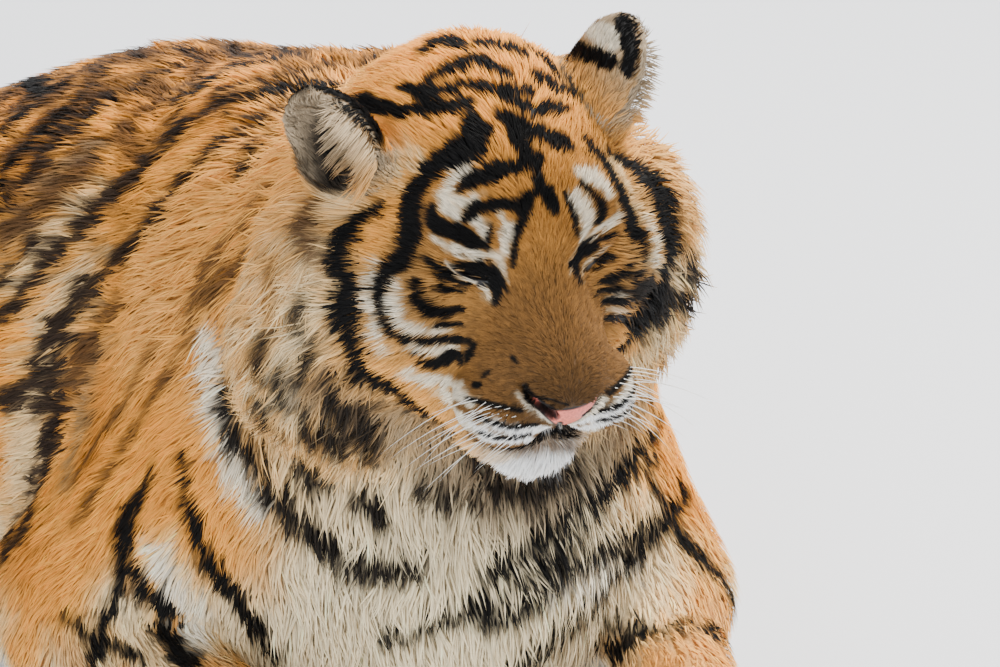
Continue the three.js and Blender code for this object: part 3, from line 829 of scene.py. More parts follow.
# Dark brown stripes of the flank and the back.
FLANK_MARKS = dict(
    flank_1=((3, 7, 8, 9, 10, 10, 9, 9, 8, 7),
             [(240, 92), (223, 101), (180, 124), (153, 147), (134, 169), (100, 196), (70, 228), (44, 258),
              (20, 290), (0, 318)]),
    flank_2=((3, 6, 7, 8, 8, 8, 7, 7, 7),
             [(281, 98), (249, 120), (207, 147), (172, 185), (150, 210), (128, 242), (105, 268), (83, 287),
              (57, 319)]),
    flank_3=((7, 9, 10, 10, 9), [(112, 89), (92, 105), (60, 130), (36, 160), (0, 204)]),
    flank_4=((5, 8, 8), [(249, 54), (207, 76), (172, 96)]),
    flank_5=((5, 9, 9), [(60, 80), (34, 102), (0, 128)]),
    flank_6=((5, 8, 6), [(192, 56), (160, 68), (128, 84)]),
    flank_7=((6, 8, 7), [(150, 44), (120, 56), (92, 70)]),
    flank_8=((6, 10, 10, 9), [(84, 296), (50, 330), (28, 378), (0, 404)]),
    flank_9=((6, 11, 12, 11), [(56, 396), (44, 430), (38, 467), (14, 540)]),
    flank_10=((3, 6, 7), [(34, 236), (12, 262), (0, 280)]),
    flank_11=((4, 7, 6), [(272, 72), (240, 80), (214, 90)]),
    flank_12=((4, 8, 7), [(330, 58), (300, 66), (276, 84)]),
    flank_13=((4, 6, 5), [(262, 130), (246, 146), (232, 170)]),
    flank_14=((5, 8, 8, 7), [(64, 320), (56, 350), (48, 378), (30, 420)]),
    flank_15=((5, 8, 7), [(26, 470), (14, 510), (0, 560)]),
    outline_1=((6, 6), [(40, 74), (34, 84)]),
    outline_2=((6, 7), [(128, 46), (136, 54)]),
    outline_3=((7, 7), [(176, 42), (184, 52)]),
    outline_4=((6, 7), [(228, 42), (236, 54)]),
    outline_5=((6, 6), [(280, 44), (288, 54)]),
)
# Soft dark brown: painted shade along the crease behind the shoulder and in the wrist's fold, and brown fur
# along the ridge, the flank, the cape and the neck, with a smudge below the mouth.
SHADE_AND_BROWN_FUR_MARKS = dict(
    ridge_1=((8, 10, 10, 8), [(0, 92), (60, 66), (120, 50), (180, 46)]),
    ridge_2=((6, 8, 8, 6), [(200, 50), (250, 50), (300, 56), (340, 62)]),
    upper_5=((8, 12, 10), [(0, 176), (30, 150), (70, 122)]),
    upper_6=((6, 8, 6), [(140, 150), (176, 124), (214, 104)]),
    smudge=((1, 2, 3, 2, 1), [(514, 454), (532, 453), (552, 450), (570, 449), (584, 448)]),
    upper_1=((14, 19, 16), [(14, 150), (50, 122), (96, 98)]),
    upper_2=((12, 17, 14), [(0, 236), (40, 200), (80, 168)]),
    upper_3=((10, 14, 12), [(0, 110), (40, 92), (90, 66)]),
    cape_dark=((5, 10, 11, 7), [(240, 246), (230, 266), (216, 286), (202, 302)]),
    upper_4=((8, 12, 10), [(120, 120), (160, 92), (200, 70)]),
    flank_low=((8, 12, 12, 10), [(110, 300), (84, 340), (60, 390), (44, 440)]),
    # Painted shade along the crease between the upper arm and the flank.
    shoulder_1=((3, 5, 6, 6, 5, 4), [(191, 333), (175, 358), (150, 398), (122, 440), (100, 478), (70, 524)]),
    shoulder_2=((2, 4, 5, 3), [(152, 344), (128, 388), (102, 430), (72, 480)]),
    shoulder_3=((8, 11, 10, 7), [(223, 236), (206, 268), (190, 297), (180, 330)]),
    shoulder_4=((4, 6, 4), [(262, 186), (246, 212), (238, 228)]),
    neck_side=((6, 9, 9, 6), [(300, 196), (298, 222), (304, 246), (312, 262)]),
    # Painted shade in the wrist's fold.
    wrist_fold=((3, 5, 3), [(110, 566), (124, 588), (140, 610)]),
)
WHITE_FACE = dict(
    lip=((5, 7, 7, 7, 7), [(488, 424), (506, 430), (524, 433), (546, 430), (558, 427)]),
    lip_low=((4, 5, 5, 5, 4), [(482, 438), (500, 441), (524, 441), (544, 436), (558, 430)]),
    pad=((4, 5, 5), [(470, 424), (486, 434), (500, 440)]),
)
IVORY_FACE = dict(
    nostril=((2, 4, 5, 4), [(517, 394), (525, 404), (538, 414), (553, 424)]),
    far_nostril=((3, 4, 3), [(574, 424), (588, 418), (600, 408)]),
    muzzle_side=((9, 11, 11, 8), [(436, 396), (454, 412), (470, 426), (486, 438)]),
    far_pad_low=((5, 6, 5), [(622, 410), (606, 422), (590, 432)]),
    over_eye=((5, 8, 11, 11, 7), [(470, 160), (450, 178), (442, 194), (446, 208), (456, 216)]),
    over_eye_arm=((8, 6, 3), [(446, 198), (464, 200), (482, 193)]),
    lid=((4, 7, 7, 5), [(434, 240), (452, 249), (471, 254), (487, 257)]),
    brow_outer=((5, 8, 6, 3), [(474, 223), (482, 222), (485, 236), (484, 248)]),
    brow_inner=((6, 9, 9, 7, 4, 2), [(502, 217), (508, 228), (505, 244), (497, 256), (500, 270), (506, 281)]),
    under_eye=((3, 5, 6, 5), [(446, 266), (462, 278), (479, 288), (483, 298)]),
    cheek_1=((5, 7, 8, 7, 4), [(393, 278), (388, 298), (395, 322), (414, 334), (446, 336)]),
    cheek_2=((5, 6, 5, 3), [(402, 352), (424, 356), (446, 354), (464, 349)]),
    cheek_3=((7, 9, 10, 10, 8), [(404, 376), (424, 384), (442, 386), (456, 392), (470, 404)]),
    temple_stripe=((3, 5, 6, 6, 5), [(368, 256), (364, 280), (361, 308), (366, 336), (379, 360)]),
    far_brow_1=((6, 10, 10, 8, 5), [(571, 192), (582, 200), (591, 213), (592, 228), (586, 241)]),
    far_brow_2=((7, 10, 8), [(582, 168), (598, 176), (612, 190)]),
    far_brow_3=((5, 6, 5), [(594, 238), (608, 228), (622, 216)]),
    far_lid=((2, 3, 3, 2), [(613, 249), (598, 259), (589, 266), (591, 280)]),
    far_bridge=((2, 3, 2), [(584, 244), (577, 256), (575, 270)]),
    far_cheek_1=((3, 5, 4), [(614, 300), (628, 296), (640, 288)]),
    far_cheek_2=((3, 5, 3), [(614, 312), (624, 314), (634, 315)]),
    far_edge=((5, 7, 7), [(655, 218), (663, 240), (662, 266)]),
    far_pad=((5, 7, 7, 6), [(632, 372), (630, 390), (618, 408), (600, 422)]),
    far_lip=((6, 9, 9, 7), [(566, 428), (582, 420), (596, 412), (604, 402)]),
    far_ear_spot=((9, 14, 13, 9), [(588, 26), (602, 32), (612, 38), (617, 46)]),
)
WHITE_CHIN = dict(
    chin=((12, 20, 24, 24, 14), [(502, 470), (520, 472), (544, 470), (560, 466), (572, 460)]),
)
# Soft pale edges.
PALE_BODY = dict(
    collar_edge=((11, 14, 16, 16, 13), [(199, 335), (201, 384), (212, 430), (235, 478), (258, 516)]),
    far_leg=((10, 14, 12), [(560, 600), (600, 588), (640, 570)]),
    near_leg=((10, 14, 14), [(148, 556), (166, 590), (196, 634)]),
)
CREAM_BODY = dict(
    chest=((60, 60, 64, 60), [(320, 600), (380, 630), (460, 610), (520, 630)]),
    chest_low=((50, 60, 60), [(300, 660), (400, 670), (480, 670)]),
    far_leg=((40, 56, 58, 44), [(560, 664), (606, 612), (648, 570), (652, 530)]),
    near_leg=((20, 26, 26), [(158, 560), (180, 600), (214, 640)]),
    near_paw=((20, 30, 36), [(110, 600), (130, 640), (160, 680)]),
    flank_low=((22, 32, 34, 30), [(84, 270), (46, 330), (26, 420), (14, 520)]),
    ruff=((12, 16, 18, 16, 12), [(308, 250), (304, 290), (300, 330), (286, 380), (280, 410)]),
    flank_mid=((16, 22, 24), [(88, 192), (48, 240), (10, 284)]),
    tan_crown=((8, 16, 16, 10), [(352, 124), (376, 138), (388, 158), (384, 178)]),
    ear_root=((8, 14, 12), [(352, 172), (338, 192), (322, 208)]),
    far_ruff=((10, 18, 22, 18), [(656, 262), (688, 280), (660, 350), (640, 372)]),
    far_ruff_edge=((8, 12, 10), [(690, 270), (698, 300), (692, 336)]),
    throat_lock=((9, 14, 12), [(392, 440), (398, 462), (402, 484)]),
    far_temple=((6, 9, 8), [(616, 162), (633, 184), (644, 206)]),
)
TAUPE_BODY = dict(
    throat=((26, 34, 34, 34, 30), [(400, 440), (440, 470), (500, 500), (560, 510), (590, 480)]),
    throat_far=((20, 28, 22), [(600, 470), (628, 450), (650, 400)]),
    jowl=((22, 32, 36, 32, 24), [(306, 390), (336, 412), (366, 434), (400, 456), (430, 470)]),
    ear_root=((10, 14), [(306, 210), (296, 232)]),
    flank=((12, 18, 20, 16), [(96, 340), (80, 380), (72, 430), (62, 480)]),
    flank_up=((12, 20, 24), [(84, 150), (44, 190), (4, 236)]),
)
GINGER_BODY = dict(
    far_leg=((9, 12, 14, 16), [(716, 530), (726, 580), (732, 630), (734, 670)]),
    far_neck=((14, 16, 16), [(676, 400), (680, 440), (680, 480)]),
    cape=((20, 26, 24), [(262, 210), (248, 250), (232, 296)]),
    cheek=((10, 16, 14), [(384, 206), (374, 228), (364, 246)]),
    near_leg=((20, 34, 40), [(150, 420), (100, 510), (50, 600)]),
    near_foot=((26, 30), [(30, 620), (20, 660)]),
)
# Painted shade in the hollow of the near ear.
EAR_HOLLOW_SHADE = dict(
    ear_hollow=((6, 12, 14, 8), [(326, 138), (333, 150), (336, 160), (332, 172)]),
)


def seen_marks(table):
    return [seen_mark(widths, pixels) for widths, pixels in table.values()]


# The lengths of TRUNK whose ridge shows in the photo, and how many degrees from it other stripes stay there.
SEEN_RIDGE = (1.4, 4.6)
RIDGE_CLEAR = 36
STRIPES = dict(first=0.25, last=6.0, apart=0.36)
# How often a stripe has a short one beside it, how many lengths behind it that lies, and its degrees.
SHORT_ODDS, SHORT_BEHIND, SHORT_TURN = 0.65, 0.18, 48


def trunk_marks():
    """Stripes down the side that doesn't show, and down the rear of the side that does."""
    rng = np.random.default_rng(SEED + 1)
    marks = []
    for side in (1, -1):
        for place in np.arange(STRIPES["first"], STRIPES["last"], STRIPES["apart"]):
            part, share = int(place), place % 1
            if side < 0 and place < SEEN_RIDGE[1]:
                continue
            (a, _, _), (b, _, _) = TRUNK[part], TRUNK[part + 1]
            top = rng.uniform(2, 12) + (RIDGE_CLEAR if SEEN_RIDGE[0] < place < SEEN_RIDGE[1] else 0)
            low = rng.uniform(84, 112)
            wide = rng.uniform(8, 13)
            sweep = rng.uniform(-0.1, 0.3)
            whole = (2, wide * 0.8, wide, wide * 0.9, wide * 0.6, 2)
            marks.append(ring_mark(a, b, share, (side * top, side * low), whole, sweep=sweep, swing=0.05))
            if rng.uniform() < SHORT_ODDS:
                start = rng.uniform(35, 60)
                turns = (side * start, side * (start + SHORT_TURN))
                short = (2, wide * 0.6, wide * 0.7, 2)
                marks.append(ring_mark(a, b, share + SHORT_BEHIND, turns, short, sweep=0.1))
    return marks


# Shares of a leg's lengths where bars cross it, and their half widths.
THIGH_BARS = ((0.15, 11), (0.45, 12), (0.75, 10), (0.98, 9))
SHANK_BARS = ((0.3, 8), (0.6, 7), (0.85, 6))


def leg_marks():
    """Bars on the thighs, hocks and the outer sides of the forelegs."""
    marks = []
    for side in (1, -1):
        hip, knee, hock = (in_pelvis(HINDLEG[name], side) for name in ("hip", "knee", "hock"))
        for share, wide in THIGH_BARS:
            marks.append(ring_mark(hip, knee, share, (-35, 80), (2, wide, wide, 2), sweep=0.1))
            marks.append(ring_mark(hip, knee, share, (-35, -110), (2, wide, wide * 0.7, 2), sweep=0.1))
        for share, wide in SHANK_BARS:
            marks.append(ring_mark(knee, hock, share, (-100, 100), (2, wide, wide, wide, 2), sweep=0.06))
    leg = FORELEGS[1]
    for share in (0.2, 0.6):
        marks.append(ring_mark(leg["shoulder"], leg["elbow"], share, (20, 120), (2, 9, 8, 2), sweep=0.1))
    for share in (0.25, 0.65):
        marks.append(ring_mark(leg["elbow"], leg["wrist"], share, (-110, 0), (2, 6, 6, 2), sweep=0.08))
    leg = FORELEGS[-1]
    for share in (0.35, 0.7):
        marks.append(ring_mark(leg["elbow"], leg["wrist"], share, (0, 110), (2, 6, 6, 2), sweep=0.08))
    return marks


def toe_gap_shades():
    """Painted shade in the gaps between the toes: dark lines from the top of the foot round its front."""
    feet = []
    for leg in FORELEGS.values():
        feet.append((array(leg["paw"]) + (0, 0, -10), turned(leg["heading"], 0), 45))
    out, back, up = HINDLEG["toes"]
    for side in (1, -1):
        feet.append((in_pelvis((out, back, up - 10), side), PELVIS_AXES, 30))
    angles = np.radians(np.linspace(-25, 105, 12))[:, None]
    marks = []
    for at, axes, ahead in feet:
        for gap in (-1, 0, 1):
            start = at + axes[:, 0] * gap * TOE["spread"] - axes[:, 1] * (ahead + 22)
            ways = np.cos(angles) * (0, 0, 1) - np.sin(angles) * axes[:, 1]
            line = first_out(np.tile(start, (len(ways), 1)), ways, 140, 4, False)
            marks.append(Mark(line, np.linspace(0.5, 3, len(line))))
    return marks


# Where the neck's stripes are along it, how many degrees down they go, and their half widths.
NAPE_STRIPES = ((-0.1, 90, 11), (0.3, 84, 11), (0.66, 70, 10))
NAPE_UP = (0, -1, 1)


def nape_marks():
    """Stripes over the neck, which go less far down the side that shows."""
    a, b = NAPE
    marks = []
    for side, reach in ((1, 0.4), (-1, 1)):
        for share, low, wide in NAPE_STRIPES:
            turns = (side * 4, side * low * reach)
            marks.append(ring_mark(a, b, share, turns, (3, wide, wide, 3), NAPE_UP, sweep=-0.1))
    return marks


def tail_marks():
    """Rings round the tail, and its black tip."""
    marks = []
    for (a, _), (b, _) in zip(TAIL, TAIL[1:]):
        run = np.linalg.norm(array(b) - array(a))
        for share in np.arange(0.2, 1.0, 76 / run):
            marks.append(ring_mark(a, b, share, (-180, 180), (15, 13, 11, 13, 15)))
    tip = array([TAIL[-2][0], TAIL[-1][0]])
    line, wide = spaced([tip[0] * 0.35 + tip[1] * 0.65, tip[1] * 1.3 - tip[0] * 0.3], (46, 60), PIXEL_STEP)
    return marks + [Mark(line, wide)]


# ---------------------------------------------------------------- colours

def shown(red, green, blue):
    """A colour as it looks on a screen, from 0 to 1."""
    return array((red, green, blue)) / 255


def light(shade):
    """The light that a surface of this shown colour reflects."""
    return np.where(shade < 0.04, shade / 12.92, ((np.maximum(shade, 0.04) + 0.055) / 1.055) ** 2.4)


COLOURS = dict(
    GINGER=shown(240, 158, 60),
    GOLD=shown(234, 176, 100),
    DEEP=shown(184, 108, 36),
    TAN=shown(56, 42, 30),
    CREAM=shown(240, 222, 182),
    PALE=shown(246, 234, 210),
    IVORY=shown(236, 226, 204),
    WHITE=shown(252, 250, 246),
    TAUPE=shown(122, 104, 82),
    EARTH=shown(174, 154, 126),
    BROWN=shown(72, 48, 28),
    UMBER=shown(36, 26, 20),
    SOOT=shown(22, 18, 15),
    BLACK=shown(7, 6, 6),
    PINK=shown(232, 122, 104),
    LEATHER=shown(20, 16, 16),
)


def blend(first, second, share):
    return COLOURS[first] * (1 - share) + COLOURS[second] * share


BASES = dict(
    nose=COLOURS["TAN"],
    face=blend("TAN", "GINGER", 0.3),
    side=blend("TAN", "GOLD", 0.5),
    cheek=blend("GINGER", "GOLD", 0.5),
    crown=COLOURS["GINGER"],
    ruff=blend("GOLD", "TAUPE", 0.12),
    chin=COLOURS["WHITE"],
    ear=COLOURS["EARTH"],
    neck=blend("GINGER", "GOLD", 0.5),
    breast=blend("CREAM", "TAUPE", 0.06),
    back=COLOURS["GINGER"],
    shoulder=COLOURS["GINGER"],
    leg=blend("GINGER", "GOLD", 0.6),
    paw=blend("GOLD", "CREAM", 0.35),
    tail=blend("GINGER", "CREAM", 0.2),
)
COAT_NAMES = list(COATS)
# How softly one coat goes over into the next, and how much hair hangs, everywhere and in the ruff.
COAT_SOFTNESS = 14
HANG = 0.3
RUFF_HANG = 0.9


def shape_shares(points):
    """How much each shape's coat counts at each point, the body's shapes before the head's."""
    near = np.full((len(BODY_SHAPES) + len(HEAD_SHAPES), len(points)), FAR)
    local = to_head(points)
    sets = [(BODY_SHAPES, points), (HEAD_SHAPES, local)]
    row = 0
    for shapes, places in sets:
        for shape in shapes:
            distance, middle, reach = shape.solid
            close = np.flatnonzero(((places - middle) ** 2).sum(1) < (reach + 2 * MARGIN) ** 2)
            if shape.blend > 0:
                near[row, close] = distance(places[close])
            row += 1
    weight = np.exp(-(near - near.min(0)) / COAT_SOFTNESS)
    return weight / weight.sum(0)


def by_coat(shares):
    """The shares of shapes gathered by coat."""
    total = np.zeros((len(COAT_NAMES), shares.shape[1]))
    for shape, row in zip(BODY_SHAPES + HEAD_SHAPES, shares):
        total[COAT_NAMES.index(shape.coat)] += row
    return total


def lies(points, shares, normals):
    """The way the hair lies: along the bone, and away from the nose on the head."""
    local = to_head(points)
    outward = np.clip(local[:, 0] / 24, -1, 1) * 0.25
    away = unit(local - NOSE_TIP) + outward[:, None] * (1, 0, 0)
    low = np.clip((-local[:, 2] - 60) / 80, 0, 1)
    away = unit(away - low[:, None] * (0, 0, 0.7)) @ HEAD_AXES.T
    total = np.tile((0, 0, -HANG), (len(points), 1))
    for shape, share in zip(BODY_SHAPES + HEAD_SHAPES, shares):
        total += share[:, None] * (away if shape.lie is None else shape.lie)
    ruff = by_coat(shares)[COAT_NAMES.index("ruff")]
    total += ruff[:, None] * (0, 0, -RUFF_HANG)
    flat = total - normals * (total * normals).sum(1)[:, None]
    return unit(flat)


def mixed(under, over, share):
    return under + (over - under) * np.clip(share, 0, 1)[:, None]


def ramp(values, low, high):
    share = np.clip((values - low) / (high - low), 0, 1)
    return share * share * (3 - 2 * share)


def all_marks():
    """Every mark, in the order in which they are laid over one another."""
    return dict(
        cream=seen_marks(CREAM_BODY),
        taupe=seen_marks(TAUPE_BODY),
        ginger=seen_marks(GINGER_BODY),
        pale=seen_marks(PALE_BODY),
        ivory=seen_marks(IVORY_FACE),
        white=pairs(seen_marks(WHITE_FACE)) + seen_marks(WHITE_CHIN),
        shade_and_brown_fur=seen_marks(SHADE_AND_BROWN_FUR_MARKS),
        neck=seen_marks(NECK_MARKS),
        flank=seen_marks(FLANK_MARKS),
        body=seen_marks(BODY_MARKS) + trunk_marks() + leg_marks() + nape_marks() + tail_marks(),
        face=pairs(seen_marks(FACE_MARKS)) + seen_marks(NEAR_MARKS) + seen_marks(HEAD_MARKS),
        toes=toe_gap_shades(),
        ear=seen_marks(EAR_HOLLOW_SHADE),
    )


# The marks in the order in which they are laid: name, colour, soft edge, raggedness, growth and strength.
LAYERS = (
    ("cream", "CREAM", 22, 8, 0, 0.7),
    ("taupe", "TAUPE", 20, 8, 0, 0.66),
    ("ginger", "GINGER", 22, 6, 0, 0.85),
    ("pale", "PALE", 9, 5, 2, 0.94),
    ("ivory", "IVORY", 3.4, 2.0, -0.8, 0.9),
    ("white", "WHITE", 2.4, 1.0, 0, 1.0),
    # Painted shade in the shoulder's crease and the wrist's fold, laid with the brown fur marks.
    ("shade_and_brown_fur", "BROWN", 9, 5, 1, 0.8),
    ("flank", "UMBER", 7, 5, 3.0, 0.94),
    ("neck", "SOOT", 7, 6, 3.5, 0.96),
    ("body", "BLACK", 4.5, 4, 3.0, 0.97),
    ("face", "BLACK", 1.8, 1.2, 1.4, 1.0),
    # Painted shade in the gaps between the toes.
    ("toes", "BROWN", 3.5, 0.5, 0, 0.8),
    # Painted shade in the near ear's hollow, over the ears' own colours.
    ("ear", "BLACK", 5, 2, 0, 0.9),
)


def plain_coat(points, normals, coats):
    """The coat's colour without any marks: pale below, ginger above."""
    bases = np.stack([BASES[name] for name in COAT_NAMES])
    colour = coats.T @ bases
    patchy = wobble(points, 90, 11)
    trunk = sum(coats[COAT_NAMES.index(name)] for name in ("back", "shoulder", "leg"))
    low = ramp(points[:, 2] + 26 * patchy, 230, 70) * ramp(normals[:, 2], 0.75, 0.1)
    colour = mixed(colour, COLOURS["CREAM"], trunk * low * 0.85)
    under = ramp(normals[:, 2], -0.1, -0.6)
    colour = mixed(colour, COLOURS["WHITE"], trunk * under)
    tail = coats[COAT_NAMES.index("tail")]
    colour = mixed(colour, COLOURS["CREAM"], tail * ramp(normals[:, 2], 0.2, -0.6) * 0.8)
    colour = mixed(colour, COLOURS["DEEP"], trunk * 0.4 * ramp(patchy, 0.0, 1.4))
    dusk = ramp(wobble(points, 38, 16), -1.0, 0.9) * ramp(normals[:, 2], 0.3, 0.85)
    return mixed(colour, COLOURS["BROWN"], coats[COAT_NAMES.index("back")] * dusk * 0.8)


def painted(points, normals, coats, marks):
    """The coat's colour at places along its hairs."""
    colour = plain_coat(points, normals, coats)
    ruff, neck = (coats[COAT_NAMES.index(name)] for name in ("ruff", "neck"))
    streaks = wobble(points * (1.6, 1.6, 0.5), 22, 13)
    colour = mixed(colour, COLOURS["CREAM"], ruff * 0.6 * ramp(streaks, 0.0, 0.9))
    dark = ramp(-streaks - 0.4 * wobble(points, 40, 14), 0.6, 1.4)
    colour = mixed(colour, COLOURS["BROWN"], ruff * 0.7 * dark)
    colour = mixed(colour, COLOURS["DEEP"], neck * 0.5 * ramp(streaks, 0.3, 1.3))
    for name, shade, soft, ragged, growth, strength in LAYERS:
        if name == "ear":
            colour = mixed(colour, *ear_colour(points, normals))
        share = covered(points, normals, marks[name], soft, ragged, growth)
        colour = mixed(colour, COLOURS[shade], share * strength)
    short = sum(coats[COAT_NAMES.index(name)] for name in ("nose", "face", "side"))
    fleck = 0.03 * wobble(points, 16, 12) + 0.07 * short * wobble(points, 5, 15)
    return colour * (1 + fleck)[:, None]


def ear_colour(points, normals):
    """Colours of the ears and how far they count: earthy insides with painted shade in the hollow, and a
    black back with a white spot on the near one. The far one's back has seen marks."""
    local = to_head(points)
    colour = np.tile(COLOURS["EARTH"], (len(points), 1))
    share = np.zeros(len(points))
    reach = array((EAR["depth"] * 1.5, EAR["width"] * 1.12, EAR["height"] * 1.12))
    for side, ear in EARS.items():
        axes = ear_axes(ear)
        inner = (local - array(ear["at"])) @ axes
        facing = (normals @ HEAD_AXES) @ axes[:, 0]
        near = ramp(np.linalg.norm(inner / reach, axis=1), 1.1, 0.95)
        back = ramp(facing, -0.05, -0.4)
        high = ramp(inner[:, 2], -18, 0)
        across, up = inner[:, 1] / EAR["width"], inner[:, 2] / EAR["height"]
        # Painted shade in the hollow of the cup, darkest in its middle.
        deep = ramp(np.hypot(across, up + 0.2), 0.85, 0.4)
        rim = ramp(np.hypot(across, up), 0.97, 1.04) * ramp(inner[:, 2], 0, 20)
        rim *= ramp(inner[:, 1] * side, -4, 16)
        spot = ramp(np.hypot(inner[:, 1], inner[:, 2] - 8), 25, 19)
        shade = mixed(colour, COLOURS["SOOT"], np.maximum((1 - back) * deep * 0.8, (1 - back) * rim * 0.8))
        shade = mixed(shade, COLOURS["GINGER"], back)
        shade = mixed(shade, COLOURS["BLACK"], back * high * (side < 0))
        shade = mixed(shade, COLOURS["WHITE"], back * (side < 0) * spot)
        colour = np.where((near > 0)[:, None], shade, colour)
        share = np.maximum(share, near * (1 - back * (side > 0)))
    return colour, share


# ---------------------------------------------------------------- details of the face
# Places in the head's own axes, for the left side.

EYE_INNER, EYE_OUTER = array((43, -30, -4)), array((79, -8, 10))
EYE_NORMAL = unit((0.3, -0.9, 0.28))
LID_OPEN = 3.4
LID_REACH = 20
# How far from the head's middle the skin is looked at again for details, and from the nose for its grooves.
HEAD_REACH = 260
NOSE_REACH = 110
DETAIL_SPOTS = [((61, -24, -2), 30), ((0, -128, -80), 44), ((0, -118, -116), 30), ((34, -106, -122), 26)]
# Pixels of the lines that are cut into the skin, with half widths, and how deep they go.
GROOVES = dict(
    nostril=((2, 3.5, 5, 6, 4), 10, [(525, 387), (529, 397), (538, 404.5), (548, 410.5), (555, 418)]),
    far_nostril=((1.2, 2, 2.2, 1.5), 5, [(584, 416), (596, 407), (604, 396), (607, 387)]),
    mouth=((2.5, 3, 3, 3, 3, 2), 5,
           [(560, 431), (550, 437), (534, 442), (513, 447), (488, 447), (466, 438), (453, 424)]),
    philtrum=((2, 2), 2.5, [(560, 424), (559, 433)]),
)
ON_BOTH_SIDES = ("mouth",)


def groove_marks(name):
    widths, depth, pixels = GROOVES[name]
    marks = [seen_mark(widths, pixels)]
    return (pairs(marks) if name in ON_BOTH_SIDES else marks), depth


def eye_places(points, side):
    """Place along the eye's slit from -1 to 1, and height above it in millimetres."""
    local = to_head(points) * (side, 1, 1)
    middle = (EYE_INNER + EYE_OUTER) / 2
    along = unit(EYE_OUTER - EYE_INNER)
    upward = unit(np.cross(along, EYE_NORMAL))
    upward *= np.sign(upward[2])
    rest = local - middle
    near = np.abs(rest @ EYE_NORMAL) < 26
    place = rest @ along / LID_REACH
    height = rest @ upward - 2.2 * place ** 2 + 1.5
    return np.where(near, place, 9.0), height


def lid_shape(points):
    """How far the skin stands out round the eyes; inside the slit it sinks behind the eyeball."""
    total = np.zeros(len(points))
    for side in (1, -1):
        place, height = eye_places(points, side)
        middle = np.clip(1 - place ** 2, 0, 1)
        gap = LID_OPEN * middle ** 0.7
        outer = np.exp(-(place / 1.25) ** 4)
        total += outer * 2.4 * np.exp(-((height - gap - 6) / 6) ** 2) * (np.abs(place) < 2)
        total -= outer * 2.2 * np.exp(-((height - 17) / 2.2) ** 2)
        total += outer * 1.4 * np.exp(-((height + gap + 4) / 4) ** 2)
        total -= outer * 1.6 * np.exp(-((height + 14) / 2) ** 2)
        total -= 8.5 * ramp(gap - np.abs(height), -0.3, 0.9) * (np.abs(place) < 1)
    return total


def eye_rim(points):
    """The bare dark skin of the lids' edges."""
    rim = np.zeros(len(points))
    for side in (1, -1):
        place, height = eye_places(points, side)
        gap = LID_OPEN * np.clip(1 - place ** 2, 0, 1) ** 0.7
        lash = ramp(np.abs(height) - gap, 3.4, 1.6) * ramp(np.abs(place), 1.25, 1.05)
        tear = ramp(np.hypot((place + 1.05) * 14, (height + 5) * 0.8), 8, 5)
        rim = np.maximum(rim, np.maximum(lash, tear))
    return rim


def leather_share(points, margin=0.0):
    """The bare nose: a broad top edge that narrows to the lip, less a margin."""
    local = to_head(points)
    high = -66 + 0.25 * np.maximum(np.abs(local[:, 0]) - 20, 0)
    half = np.interp(local[:, 2], (-103, -98, -84, -70, -60), (1, 4, 16, 29, 33))
    inside = np.minimum(half - np.abs(local[:, 0]), high - local[:, 2])
    inside = np.minimum(inside, local[:, 2] + 102) - margin
    return ramp(inside, -1.2, 0.8) * (local[:, 1] < -104)


def add_detail(skin, grooves):
    """Finer faces round the eyes, nose and mouth, then lids, nostrils and lips in relief."""
    work = bmesh.new()
    work.from_mesh(skin.data)
    places = to_head(array([v.co for v in work.verts]) / MM)
    places[:, 0] = np.abs(places[:, 0])
    close = np.zeros(len(places), bool)
    for spot, reach in DETAIL_SPOTS:
        close |= np.linalg.norm(places - spot, axis=1) < reach
    work.verts.ensure_lookup_table()
    edges = [e for e in work.edges if close[e.verts[0].index] and close[e.verts[1].index]]
    bmesh.ops.subdivide_edges(work, edges=edges, cuts=1, use_grid_fill=True)
    work.to_mesh(skin.data)
    work.free()
    points = mesh_points(skin.data)
    close = np.flatnonzero(np.linalg.norm(points - array(HEAD["at"]), axis=1) < HEAD_REACH)
    spots = pulled(skin_field, points[close], CELL / FINE / 2, 2)
    out = lid_shape(spots)
    for marks, depth in grooves.values():
        out -= depth * covered(spots, slope(skin_field, spots), marks, 1.2)
    points[close] = spots + slope(skin_field, spots) * out[:, None]
    points[:, 2] = np.maximum(points[:, 2], FLOOR_SKIN)
    skin.data.vertices.foreach_set("co", (points * MM).ravel())
    skin.data.update()


def mesh_points(mesh):
    points = np.zeros(len(mesh.vertices) * 3)
    mesh.vertices.foreach_get("co", points)
    return points.reshape(-1, 3) / MM


def mesh_normals(mesh):
    normals = np.zeros(len(mesh.vertices) * 3)
    mesh.vertices.foreach_get("normal", normals)
    return normals.reshape(-1, 3)


def unwrap(skin):
    """A map of the skin's own shape, in the layer that the coat's patches lie in."""
    skin.data.uv_layers.new(name=MAP)
    bpy.context.view_layer.objects.active = skin
    skin.select_set(True)
    bpy.ops.object.mode_set(mode="EDIT")
    bpy.ops.mesh.select_all(action="SELECT")
    bpy.ops.uv.smart_project(angle_limit=radians(66), island_margin=0.002)
    bpy.ops.object.mode_set(mode="OBJECT")


# ---------------------------------------------------------------- the coat

MAP = "OFBake"
PATCH = 0.003
